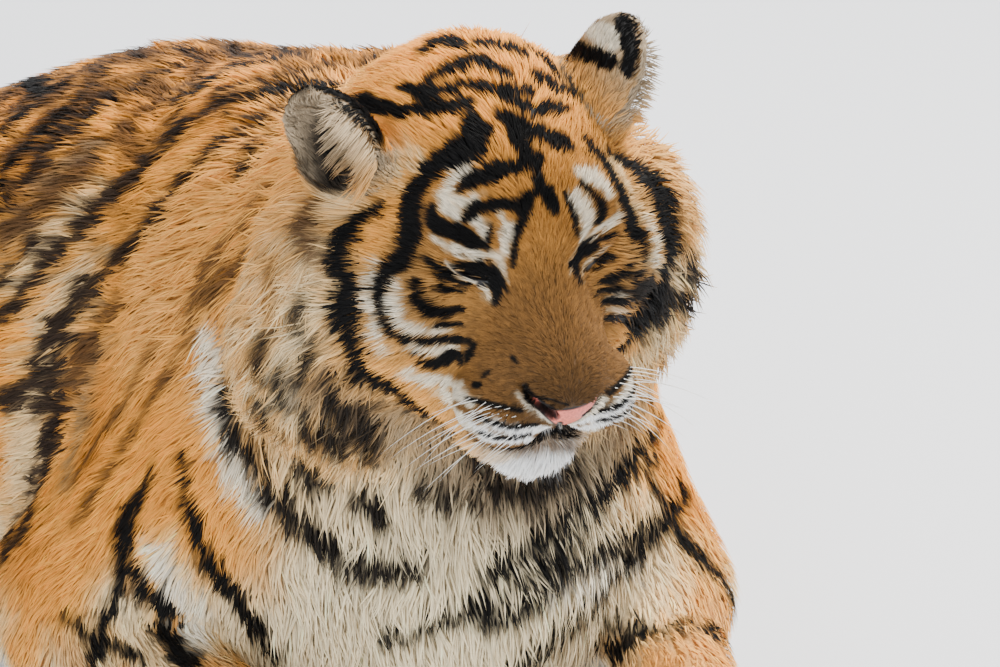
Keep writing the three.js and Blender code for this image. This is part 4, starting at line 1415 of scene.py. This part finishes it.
# Coats of each group, the number of its tufts, their rings, the spacing of their locks and how wavy they are.
Group = namedtuple("Group", "coats count rings lock wave")
GROUPS = dict(
    face=Group(("nose", "face"), 33000, 2, 5, 0.0),
    head=Group(("side", "cheek", "crown", "chin", "ear"), 33000, 2, 9, 0.0),
    ruff=Group(("ruff",), 15500, 3, 15, 0.10),
    neck=Group(("neck", "breast"), 16500, 3, 15, 0.08),
    body=Group(("back", "shoulder"), 84000, 2, 12, 0.0),
    limbs=Group(("leg", "paw", "tail"), 30000, 2, 9, 0.0),
)
MOST_TUFTS = {2: 33000, 3: 16500}
EAR_FRINGE = ((7, 9, 10, 10, 8), [(346, 104), (362, 118), (374, 138), (378, 160), (366, 182)])
FRINGE_LENGTH, FAR_FRINGE_LENGTH, FRINGE_WIDTH = 34, 16, 1.6
RING_PULL, TIP_PULL = 0.15, 0.5
LOCK_TONE, TUFT_TONE = 0.05, 0.05
SUNK = 1.0
JITTERS = 4096
LOCK_PRIMES = np.array((73, 1579, 3571))


def triangles(mesh):
    """Corner points and loops of the skin's triangles."""
    mesh.calc_loop_triangles()
    count = len(mesh.loop_triangles)
    corners, loops = np.zeros(count * 3, np.int32), np.zeros(count * 3, np.int32)
    mesh.loop_triangles.foreach_get("vertices", corners)
    mesh.loop_triangles.foreach_get("loops", loops)
    return corners.reshape(-1, 3), loops.reshape(-1, 3)


def roots_on(weights, count, rng):
    """Triangles picked evenly by weight, and a place in each."""
    total = np.cumsum(weights)
    places = (np.arange(count) + rng.uniform(0, 1, count)) / count * total[-1]
    chosen = np.minimum(np.searchsorted(total, places), len(weights) - 1)
    u, v = rng.uniform(0, 1, (2, count))
    over = u + v > 1
    u[over], v[over] = 1 - u[over], 1 - v[over]
    return chosen, np.stack([1 - u - v, u, v], 1)


def across_corners(values, corners, chosen, share):
    return (values[corners[chosen]] * share[..., None]).sum(1)


# Where each ring of a tuft is along its length, and its width there.
RINGS = {2: ((0.42, 1.0), (1.0, 0.0)), 3: ((0.28, 0.95), (0.64, 0.8), (1.0, 0.0))}
RING_LOW, RING_HIGH = 0.2, 0.38
# The part of a tuft that shows most, and how far all of the tuft takes the colour of that part.
SHOWN_PART, EVENNESS = 0.76, 0.6


def lock_pull(root, normal, spacing, rng):
    """The way from each root to the middle of its lock of hair, and a number for the lock."""
    jitter = rng.uniform(0.1, 0.9, (JITTERS, 4))
    cell = np.floor(root / spacing).astype(int)
    best = np.full(len(root), FAR)
    pull = np.zeros_like(root)
    tone = np.zeros(len(root))
    for offset in np.ndindex(3, 3, 3):
        near = cell + offset - 1
        key = (near @ LOCK_PRIMES) % JITTERS
        way = (near + jitter[key, :3]) * spacing - root
        away = (way ** 2).sum(1)
        closer = away < best
        best[closer] = away[closer]
        pull[closer] = way[closer]
        tone[closer] = jitter[key, 3][closer]
    return pull - normal * (pull * normal).sum(1)[:, None], 2 * tone - 1


def tuft_line(root, normal, lie, length, lift, tip_lift, rings, pull, sway):
    """The middle of each tuft at its root, rings and tip: it flattens, and leans into its lock."""
    side = np.cross(lie, normal)
    line = [root - normal * SUNK]
    place = root
    before = 0.0
    steps = RINGS[rings]
    for number, (along, _) in enumerate(steps):
        angle = lift + (tip_lift - lift) * number / (len(steps) - 1)
        way = lie * np.cos(angle)[:, None] + normal * np.sin(angle)[:, None]
        place = place + way * (length * (along - before))[:, None]
        before = along
        lean = RING_PULL + (TIP_PULL - RING_PULL) * number / (len(steps) - 1)
        swing = sway * length * sin(1.5 * pi * along)
        line.append(place + pull * lean + side * swing[:, None])
    return np.stack(line, 1)


def place_on(line, rings, share):
    """The points at this share of the tufts' lengths."""
    stops = [0] + [along for along, _ in RINGS[rings]]
    part = min(int(np.searchsorted(stops, share, "right")) - 1, rings - 1)
    rest = (share - stops[part]) / (stops[part + 1] - stops[part])
    return line[:, part] * (1 - rest) + line[:, part + 1] * rest


def tuft_points(line, normal, width, rings):
    """The points of each tuft: a root, rings of three, and a tip."""
    parts = [line[:, 0]]
    for number, (_, fat) in enumerate(RINGS[rings][:-1]):
        way = unit(line[:, number + 2] - line[:, number])
        side = unit(np.cross(way, normal))
        over = np.cross(side, way)
        half = (width * fat / 2)[:, None]
        low = line[:, number + 1] - over * half * RING_LOW
        parts += [low - side * half, low + side * half, line[:, number + 1] + over * half * RING_HIGH]
    parts.append(line[:, -1])
    return np.stack(parts, 1)


def tuft_faces(rings):
    """Triangles of one tuft, facing out."""
    faces = []
    for k in range(3):
        j = (k + 1) % 3
        faces.append((0, 1 + j, 1 + k))
        for ring in range(rings - 2):
            a, b = 1 + 3 * ring, 4 + 3 * ring
            faces += [(a + k, a + j, b + j), (a + k, b + j, b + k)]
        last = 1 + 3 * (rings - 2)
        faces.append((last + k, last + j, last + 3))
    return np.array(faces)


def add_mesh(name, points, faces, material):
    """A mesh object from arrays of points in millimetres and triangles."""
    mesh = bpy.data.meshes.new(name)
    mesh.vertices.add(len(points))
    mesh.vertices.foreach_set("co", (points * MM).ravel())
    mesh.loops.add(faces.size)
    mesh.loops.foreach_set("vertex_index", faces.ravel().astype(np.int32))
    mesh.polygons.add(len(faces))
    mesh.polygons.foreach_set("loop_start", np.arange(0, faces.size, 3, dtype=np.int32))
    mesh.update(calc_edges=True)
    mesh.materials.append(material)
    piece = bpy.data.objects.new(name, mesh)
    bpy.context.scene.collection.objects.link(piece)
    return piece


def add_attribute(mesh, name, kind, values):
    attribute = mesh.attributes.new(name, kind, "POINT")
    field = {"FLOAT": "value", "FLOAT_COLOR": "color", "FLOAT_VECTOR": "vector"}[kind]
    attribute.data.foreach_set(field, np.ascontiguousarray(values, np.float32).ravel())


def sharp_edges(mesh, each, rings):
    """The edges along both sides of every tuft, where its top meets its underside."""
    ends = np.zeros(len(mesh.edges) * 2, np.int32)
    mesh.edges.foreach_get("vertices", ends)
    ends = np.sort(ends.reshape(-1, 2) % each, 1)
    lines = [[0, *(side + 3 * ring for ring in range(rings - 1)), each - 1] for side in (1, 2)]
    sharp = np.zeros(len(ends), bool)
    for line in lines:
        for a, b in zip(line, line[1:]):
            sharp |= (ends[:, 0] == a) & (ends[:, 1] == b)
    mesh.attributes.new("sharp_edge", "BOOLEAN", "EDGE").data.foreach_set("value", sharp)


def add_tufts(name, points, colours, places, rings, material, rng):
    """One piece of coat from the points of its tufts, with a colour at each ring and tip."""
    count, each = points.shape[:2]
    faces = (tuft_faces(rings)[None] + np.arange(count)[:, None, None] * each).reshape(-1, 3)
    flat = points.reshape(-1, 3)
    flat[:, 2] = np.maximum(flat[:, 2], FLOOR_HAIR)
    piece = add_mesh(name, flat, faces, material)
    mesh = piece.data
    mesh.shade_smooth()
    sharp_edges(mesh, each, rings)
    along = np.concatenate([[0], np.repeat([place for place, _ in RINGS[rings][:-1]], 3), [1]])
    across = np.concatenate([[0.5], np.tile((0, 1, 0.5), rings - 1), [0.5]])
    row = np.concatenate([[0], np.repeat(np.arange(rings - 1), 3), [rings - 1]])
    shade = np.concatenate([colours[:, row], np.ones((count, each, 1))], 2)
    add_attribute(mesh, "coat", "FLOAT_COLOR", shade.reshape(-1, 4))
    strand = np.stack([np.tile(across, count) + np.repeat(rng.uniform(0, 90, count), each),
                       np.tile(along, count), np.repeat(rng.uniform(0, 1, count), each)], 1)
    add_attribute(mesh, "strand", "FLOAT_VECTOR", strand)
    layer = mesh.uv_layers.new(name=MAP)
    patch = (np.stack([across, along], 1) - 0.5) * PATCH
    uv = (places[:, None] + patch[None]).reshape(-1, 2)
    layer.data.foreach_set("uv", uv[faces.ravel()].astype(np.float32).ravel())
    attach(piece, "root")
    return piece


def grow(skin, marks, material):
    """The whole coat, a group of regions at a time."""
    rng = np.random.default_rng(SEED)
    mesh = skin.data
    points, normals = mesh_points(mesh), mesh_normals(mesh)
    corners, loops = triangles(mesh)
    uv = np.zeros(len(mesh.loops) * 2)
    mesh.uv_layers[MAP].data.foreach_get("uv", uv)
    uv = uv.reshape(-1, 2)
    a, b, c = (points[corners[:, k]] for k in range(3))
    area = np.linalg.norm(np.cross(b - a, c - a), axis=1) / 2
    centre = (a + b + c) / 3
    coats = by_coat(shape_shares(centre))
    main = coats.argmax(0)
    crowd = array([COATS[name].crowd for name in COAT_NAMES])
    bare = np.maximum(eye_rim(centre), leather_share(centre)) > 0.5
    density = area * crowd[main] * ~bare * (centre[:, 2] > FLOOR_SKIN + 2)
    density *= 1 + 0.9 * ramp(centre[:, 1], 260, 60) * ramp(centre[:, 0], 60, -40)
    for name, group in GROUPS.items():
        count = group.count
        here = np.isin(main, [COAT_NAMES.index(coat) for coat in group.coats])
        chosen, share = roots_on(density * here, count, rng)
        root = across_corners(points, corners, chosen, share)
        normal = unit(across_corners(normals, corners, chosen, share))
        place = across_corners(uv, loops, chosen, share)
        tufts, colours = shaped_tufts(root, normal, group, marks, rng)
        parts = -(-count // MOST_TUFTS[group.rings])
        edges = np.linspace(0, count, parts + 1).astype(int)
        for number, (first, last) in enumerate(zip(edges, edges[1:])):
            part = slice(first, last)
            piece = f"coat_{name}_{number + 1}"
            add_tufts(piece, tufts[part], colours[part], place[part], group.rings, material, rng)


def ear_fringes():
    """Where long hair hangs across each ear from its front edge, and the way it lies."""
    near = seen_mark(*EAR_FRINGE)
    way = unit(-0.6 * RIGHT - 0.74 * UP + 0.4 * BACK)
    across = (way @ HEAD_AXES) * (-1, 1, 1)
    return [(near, way, FRINGE_LENGTH), (twin(near), across @ HEAD_AXES.T, FAR_FRINGE_LENGTH)]


def coat_sizes(coats):
    """Length, width and lift of the hair at points, from the shares of their coats."""
    keys = ("length", "width", "lift")
    return (coats.T @ array([getattr(COATS[name], key) for name in COAT_NAMES]) for key in keys)


def shaped_tufts(root, normal, group, marks, rng):
    """Points and colours of the tufts on these roots."""
    shares = shape_shares(root)
    coats = by_coat(shares)
    length, width, lift = coat_sizes(coats)
    lie = lies(root, shares, normal)
    count = len(root)
    pull, lock_tone = lock_pull(root, normal, group.lock, rng)
    side = np.cross(lie, normal)
    bend = radians(12) * wobble(root, 70, 21) + radians(9) * wobble(root, 22, 22)
    bend += radians(9) * lock_tone + radians(5) * rng.normal(size=count)
    lie = lie * np.cos(bend)[:, None] + side * np.sin(bend)[:, None]
    for mark, way, reach in ear_fringes():
        fringe = covered(root, normal, [mark], 4)
        lie = unit(lie * (1 - fringe[:, None]) + way * fringe[:, None])
        length = length + (reach - length) * fringe
        width = width + (FRINGE_WIDTH - width) * fringe
    length *= rng.uniform(0.75, 1.2, count)
    width *= rng.uniform(0.7, 1.3, count)
    lift = np.radians(lift * (1 + 0.25 * wobble(root, 30, 23) + 0.15 * rng.normal(size=count)))
    sway = group.wave * (wobble(root, 26, 24) + 0.4 * rng.normal(size=count))
    line = tuft_line(root, normal, lie, length, lift, lift * TIP_LIFT, group.rings, pull, sway)
    tone = 1 + LOCK_TONE * lock_tone + TUFT_TONE * rng.normal(size=count)
    tone = np.clip(tone, 0.75, 1.3)[:, None]
    places = [along * (1 - EVENNESS) + SHOWN_PART * EVENNESS for along, _ in RINGS[group.rings]]
    colours = [painted(place_on(line, group.rings, place), normal, coats, marks) * tone for place in places]
    return tuft_points(line, normal, width, group.rings), light(np.clip(np.stack(colours, 1), 0, 1))


# ---------------------------------------------------------------- whiskers

WHISKER_ROWS = ((470, 398, 510, 408), (474, 410, 516, 416), (484, 420, 530, 426), (490, 432, 528, 436))
WHISKERS_IN_ROW = 6
WHISKER_LENGTH = 88
WHISKER_WIDTH = 1.1


def add_whiskers(material, rng):
    points, faces = [], []
    for row, (x0, y0, x1, y1) in enumerate(WHISKER_ROWS):
        pixels = np.stack([np.linspace(x0, x1, WHISKERS_IN_ROW), np.linspace(y0, y1, WHISKERS_IN_ROW)], 1)
        roots = to_head(seen_at(pixels))
        for side in (-1, 1):
            for number, root in enumerate(roots):
                start = root * (-1, 1, 1) if root[0] * side < 0 else root
                out, back = side * rng.uniform(0.9, 1.2), rng.uniform(-0.1, 0.35)
                way = unit((out, back, rng.uniform(-0.75, -0.25) - 0.08 * row))
                length = WHISKER_LENGTH * rng.uniform(0.6, 1.15) * (1 - 0.09 * number)
                add_whisker(points, faces, from_head(start[None])[0], HEAD_AXES @ way, length, rng)
    points = np.concatenate(points)
    piece = add_mesh("whiskers", points, np.concatenate(faces), material)
    piece.data.shade_smooth()
    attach(piece, "root")


def add_whisker(points, faces, root, way, length, rng, steps=6):
    """A stiff white hair that droops a little."""
    base = sum(len(part) for part in points)
    side = unit(np.cross(way, (0, 0, 1)))
    over = np.cross(side, way)
    line = []
    droop = rng.uniform(0.1, 0.25)
    for step in range(steps + 1):
        share = step / steps
        middle = root + way * length * share - array((0, 0, 1)) * length * droop * share ** 2
        half = WHISKER_WIDTH / 2 * (1 - share) ** 0.7
        if step == steps:
            line.append(middle[None])
        else:
            angles = np.arange(3) * 2 * pi / 3
            line.append(middle + half * (np.cos(angles)[:, None] * side + np.sin(angles)[:, None] * over))
    points.append(np.concatenate(line))
    own = [(0, 2, 1)]
    for step in range(steps - 1):
        a, b = 3 * step, 3 * step + 3
        for k in range(3):
            j = (k + 1) % 3
            own += [(a + k, a + j, b + j), (a + k, b + j, b + k)]
    last = 3 * (steps - 1)
    own += [(last + k, last + (k + 1) % 3, last + 3) for k in range(3)]
    faces.append(np.array(own) + base)


# ---------------------------------------------------------------- materials

def new_material(name):
    material = bpy.data.materials.new(name)
    material.use_nodes = True
    return material, material.node_tree.nodes, material.node_tree.links


def attribute_node(nodes, name):
    made = nodes.new("ShaderNodeAttribute")
    made.attribute_name = name
    return made


def noise_node(nodes, scale, detail=2.0):
    made = nodes.new("ShaderNodeTexNoise")
    made.inputs["Scale"].default_value = scale
    made.inputs["Detail"].default_value = detail
    return made


def range_node(nodes, to, come_from=(0.0, 1.0)):
    """A node that takes values of one range to another."""
    made = nodes.new("ShaderNodeMapRange")
    made.inputs["From Min"].default_value, made.inputs["From Max"].default_value = come_from
    made.inputs["To Min"].default_value, made.inputs["To Max"].default_value = to
    return made


def vector_node(nodes, operation):
    made = nodes.new("ShaderNodeVectorMath")
    made.operation = operation
    return made


def math_node(nodes, operation):
    made = nodes.new("ShaderNodeMath")
    made.operation = operation
    return made


# The middle part of a noise's values, where nearly all of them lie.
NOISE_RANGE = (0.3, 0.7)
# How dark the coat is from root to tip, partly the undercoat's own colour and partly painted shade where the
# hairs shade one another near the skin, and how its strands and the skin's grain vary.
ROOT_SHADE_TO_TIP = (0.74, 1.06)
STRAND_TONES = (0.86, 1.12)
STRAND_STRETCH = (5.0, 0.8, 30.0)
SKIN_TONES = (0.7, 1.1)
HAIRY_TO_BARE = (0.8, 0.42)


def coat_material():
    """Hair: the tuft's own colour with strands along it, darker at the root, partly from the undercoat's
    colour and partly as painted shade.
    """
    material, nodes, links = new_material("coat")
    shader = nodes["Principled BSDF"]
    shader.inputs["Roughness"].default_value = 0.7
    shader.inputs["Specular IOR Level"].default_value = 0.12
    coat = attribute_node(nodes, "coat")
    strand = attribute_node(nodes, "strand")
    parts = nodes.new("ShaderNodeSeparateXYZ")
    links.new(strand.outputs["Vector"], parts.inputs[0])
    # Darker towards the root: partly the undercoat's colour, partly painted shade between the hairs.
    shade = range_node(nodes, ROOT_SHADE_TO_TIP)
    links.new(parts.outputs["Y"], shade.inputs["Value"])
    stretch = vector_node(nodes, "MULTIPLY")
    stretch.inputs[1].default_value = STRAND_STRETCH
    links.new(strand.outputs["Vector"], stretch.inputs[0])
    grain = noise_node(nodes, 1.0)
    links.new(stretch.outputs[0], grain.inputs["Vector"])
    tone = range_node(nodes, STRAND_TONES, NOISE_RANGE)
    links.new(grain.outputs[0], tone.inputs["Value"])
    both = math_node(nodes, "MULTIPLY")
    links.new(shade.outputs[0], both.inputs[0])
    links.new(tone.outputs[0], both.inputs[1])
    scaled = vector_node(nodes, "SCALE")
    links.new(coat.outputs["Color"], scaled.inputs[0])
    links.new(both.outputs[0], scaled.inputs["Scale"])
    links.new(scaled.outputs[0], shader.inputs["Base Color"])
    return material


def skin_material():
    """Skin under the coat in the coat's colours, and bare leather on the nose and lids."""
    material, nodes, links = new_material("skin")
    shader = nodes["Principled BSDF"]
    shader.inputs["Specular IOR Level"].default_value = 0.35
    coat = attribute_node(nodes, "coat")
    bare = attribute_node(nodes, "bare")
    place = nodes.new("ShaderNodeTexCoord")
    grain = noise_node(nodes, 420.0, 3.0)
    links.new(place.outputs["Object"], grain.inputs["Vector"])
    tone = range_node(nodes, SKIN_TONES, NOISE_RANGE)
    links.new(grain.outputs[0], tone.inputs["Value"])
    scaled = vector_node(nodes, "SCALE")
    links.new(coat.outputs["Color"], scaled.inputs[0])
    links.new(tone.outputs[0], scaled.inputs["Scale"])
    links.new(scaled.outputs[0], shader.inputs["Base Color"])
    rough = range_node(nodes, HAIRY_TO_BARE)
    links.new(bare.outputs["Fac"], rough.inputs["Value"])
    links.new(rough.outputs[0], shader.inputs["Roughness"])
    bump = nodes.new("ShaderNodeBump")
    bump.inputs["Strength"].default_value = 0.35
    bump.inputs["Distance"].default_value = 0.001
    links.new(grain.outputs[0], bump.inputs["Height"])
    links.new(bump.outputs[0], shader.inputs["Normal"])
    return material


PUPIL = array((0.002, 0.002, 0.002))
# The eye's colours from the pupil's middle out, as shares of EYE_SPAN in metres.
EYE_RINGS = (
    (0.0, PUPIL),
    (0.2, PUPIL),
    (0.25, light(shown(176, 120, 40))),
    (0.44, light(shown(140, 84, 26))),
    (0.5, light(shown(40, 26, 16))),
    (0.56, light(shown(150, 130, 110))),
)
EYE_SPAN = 0.02


def eye_material(name, side):
    """An amber iris with a round pupil, turned down and ahead."""
    material, nodes, links = new_material(name)
    shader = nodes["Principled BSDF"]
    shader.inputs["Roughness"].default_value = 0.12
    shader.inputs["Coat Weight"].default_value = 0.6
    low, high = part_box(name)
    centre = (low + high) / 2
    radius = (high.z - low.z) / 2
    gaze = HEAD_AXES @ unit((0.28 * side, -1, -0.12))
    place = nodes.new("ShaderNodeTexCoord")
    away = vector_node(nodes, "DISTANCE")
    away.inputs[1].default_value = centre + Vector(gaze) * radius
    links.new(place.outputs["Object"], away.inputs[0])
    rings = nodes.new("ShaderNodeValToRGB")
    share = math_node(nodes, "DIVIDE")
    share.inputs[1].default_value = EYE_SPAN
    links.new(away.outputs["Value"], share.inputs[0])
    fleck = noise_node(nodes, 900.0)
    links.new(place.outputs["Object"], fleck.inputs["Vector"])
    ramp_ends = rings.color_ramp.elements
    while len(ramp_ends) < len(EYE_RINGS):
        ramp_ends.new(0.5)
    for end, (spot, shade) in zip(ramp_ends, EYE_RINGS):
        end.position = spot
        end.color = (*shade, 1)
    links.new(share.outputs[0], rings.inputs[0])
    mix = nodes.new("ShaderNodeMixRGB")
    mix.blend_type = "MULTIPLY"
    mix.inputs[0].default_value = 0.4
    links.new(rings.outputs[0], mix.inputs[1])
    links.new(fleck.outputs[0], mix.inputs[2])
    links.new(mix.outputs[0], shader.inputs["Base Color"])
    return material


def whisker_material():
    material, nodes, links = new_material("whisker")
    shader = nodes["Principled BSDF"]
    shader.inputs["Roughness"].default_value = 0.35
    grain = noise_node(nodes, 60.0)
    shades = nodes.new("ShaderNodeValToRGB")
    shades.color_ramp.elements[0].color = (*light(shown(220, 214, 200)), 1)
    shades.color_ramp.elements[1].color = (*light(shown(252, 250, 246)), 1)
    links.new(grain.outputs[0], shades.inputs[0])
    links.new(shades.outputs[0], shader.inputs["Base Color"])
    return material


def floor_material():
    material, nodes, links = new_material("floor")
    shader = nodes["Principled BSDF"]
    shader.inputs["Base Color"].default_value = (*light(shown(226, 228, 232)), 1)
    shader.inputs["Roughness"].default_value = 0.8
    return material


# ---------------------------------------------------------------- the studio

FLOOR_REACH = 14
LIGHTS_AIM = (0, 0, 0.3)
Lamp = namedtuple("Lamp", "name at size power shade")
LAMPS = (
    Lamp("key", (1.8, -0.2, 3.4), 1.5, 350, (1, 0.97, 0.92)),
    Lamp("fill", (-2.6, -3.2, 1.7), 2.2, 125, (0.95, 0.98, 1)),
    Lamp("back", (0.5, 3.6, 2.6), 2.0, 130, (1, 1, 1)),
)
SKY_SHADE, SKY_STRENGTH = (0.9, 0.94, 1, 1), 0.7


def add_floor():
    mesh = bpy.data.meshes.new("floor")
    corners = [(x * FLOOR_REACH, y * FLOOR_REACH, 0) for x, y in ((-1, -1), (1, -1), (1, 1), (-1, 1))]
    mesh.from_pydata(corners, [], [(0, 1, 2, 3)])
    mesh.materials.append(floor_material())
    floor = bpy.data.objects.new("floor", mesh)
    bpy.context.scene.collection.objects.link(floor)
    floor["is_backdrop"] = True


def add_light(lamp):
    light_data = bpy.data.lights.new(lamp.name, "AREA")
    light_data.size = lamp.size
    light_data.energy = lamp.power
    light_data.color = lamp.shade
    holder = bpy.data.objects.new(lamp.name, light_data)
    holder.location = lamp.at
    holder.rotation_euler = (Vector(LIGHTS_AIM) - Vector(lamp.at)).to_track_quat("-Z", "Y").to_euler()
    bpy.context.scene.collection.objects.link(holder)


def add_studio():
    add_floor()
    for lamp in LAMPS:
        add_light(lamp)
    world = bpy.data.worlds.new("studio")
    world.use_nodes = True
    world.node_tree.nodes["Background"].inputs[0].default_value = SKY_SHADE
    world.node_tree.nodes["Background"].inputs[1].default_value = SKY_STRENGTH
    bpy.context.scene.world = world


def add_camera():
    camera = bpy.data.cameras.new("camera")
    camera.sensor_width = SENSOR
    camera.lens = SENSOR * AIM["distance"] * PIXELS_PER_MM / PICTURE[0]
    camera.clip_end = 100
    holder = bpy.data.objects.new("camera", camera)
    holder.location = EYE_POINT * MM
    holder.rotation_mode = "QUATERNION"
    holder.rotation_quaternion = Vector(-BACK).to_track_quat("-Z", "Y")
    bpy.context.scene.collection.objects.link(holder)
    bpy.context.scene.camera = holder


# ---------------------------------------------------------------- the tiger

# How dark the skin is beside the coat, and the width of the bare nose's dark edge.
SKIN_SHADE = 0.9
LEATHER_EDGE = 2.2


def paint_skin(skin, marks, grooves):
    """The coat's colours on the skin, with bare leather on the nose, lids and lips."""
    mesh = skin.data
    points, normals = mesh_points(mesh), mesh_normals(mesh)
    coats = by_coat(shape_shares(points))
    depth = coats.T @ array([coat_depth(COATS[name]) for name in COAT_NAMES])
    colour = painted(points + normals * depth[:, None], normals, coats, marks) * SKIN_SHADE
    leather = leather_share(points)
    rim = eye_rim(points)
    close = np.flatnonzero(np.linalg.norm(to_head(points) - NOSE_TIP, axis=1) < NOSE_REACH)
    outward = slope(skin_field, points[close])
    for cut, _ in grooves.values():
        rim[close] = np.maximum(rim[close], covered(points[close], outward, cut, 1.0, growth=1.0))
    colour = mixed(colour, COLOURS["LEATHER"], leather)
    colour = mixed(colour, COLOURS["PINK"], leather_share(points, LEATHER_EDGE))
    colour = light(np.clip(mixed(colour, COLOURS["LEATHER"], rim), 0, 1))
    add_attribute(mesh, "coat", "FLOAT_COLOR", np.concatenate([colour, np.ones((len(colour), 1))], 1))
    add_attribute(mesh, "bare", "FLOAT", np.maximum(leather, rim))
    mesh.shade_smooth()


def build():
    rng = np.random.default_rng(SEED + 2)
    marks = all_marks()
    grooves = {name: groove_marks(name) for name in GROOVES}
    skin = make_skin()
    add_detail(skin, grooves)
    unwrap(skin)
    paint_skin(skin, marks, grooves)
    skin.data.materials.append(skin_material())
    flesh = [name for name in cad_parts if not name.startswith("eye_")]
    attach(skin, "root")
    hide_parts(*flesh)
    grow(skin, marks, coat_material())
    add_whiskers(whisker_material(), rng)
    for side, name in ((1, "eye_left"), (-1, "eye_right")):
        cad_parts[name].data.materials.clear()
        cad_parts[name].data.materials.append(eye_material(name, side))


def save_sizes():
    """The boxes of the solids and of the finished model, worked out but not written anywhere."""
    boxes = [[list(corner) for corner in box] for box in (CAD_BOX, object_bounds())]


build()
add_studio()
add_camera()
save_sizes()
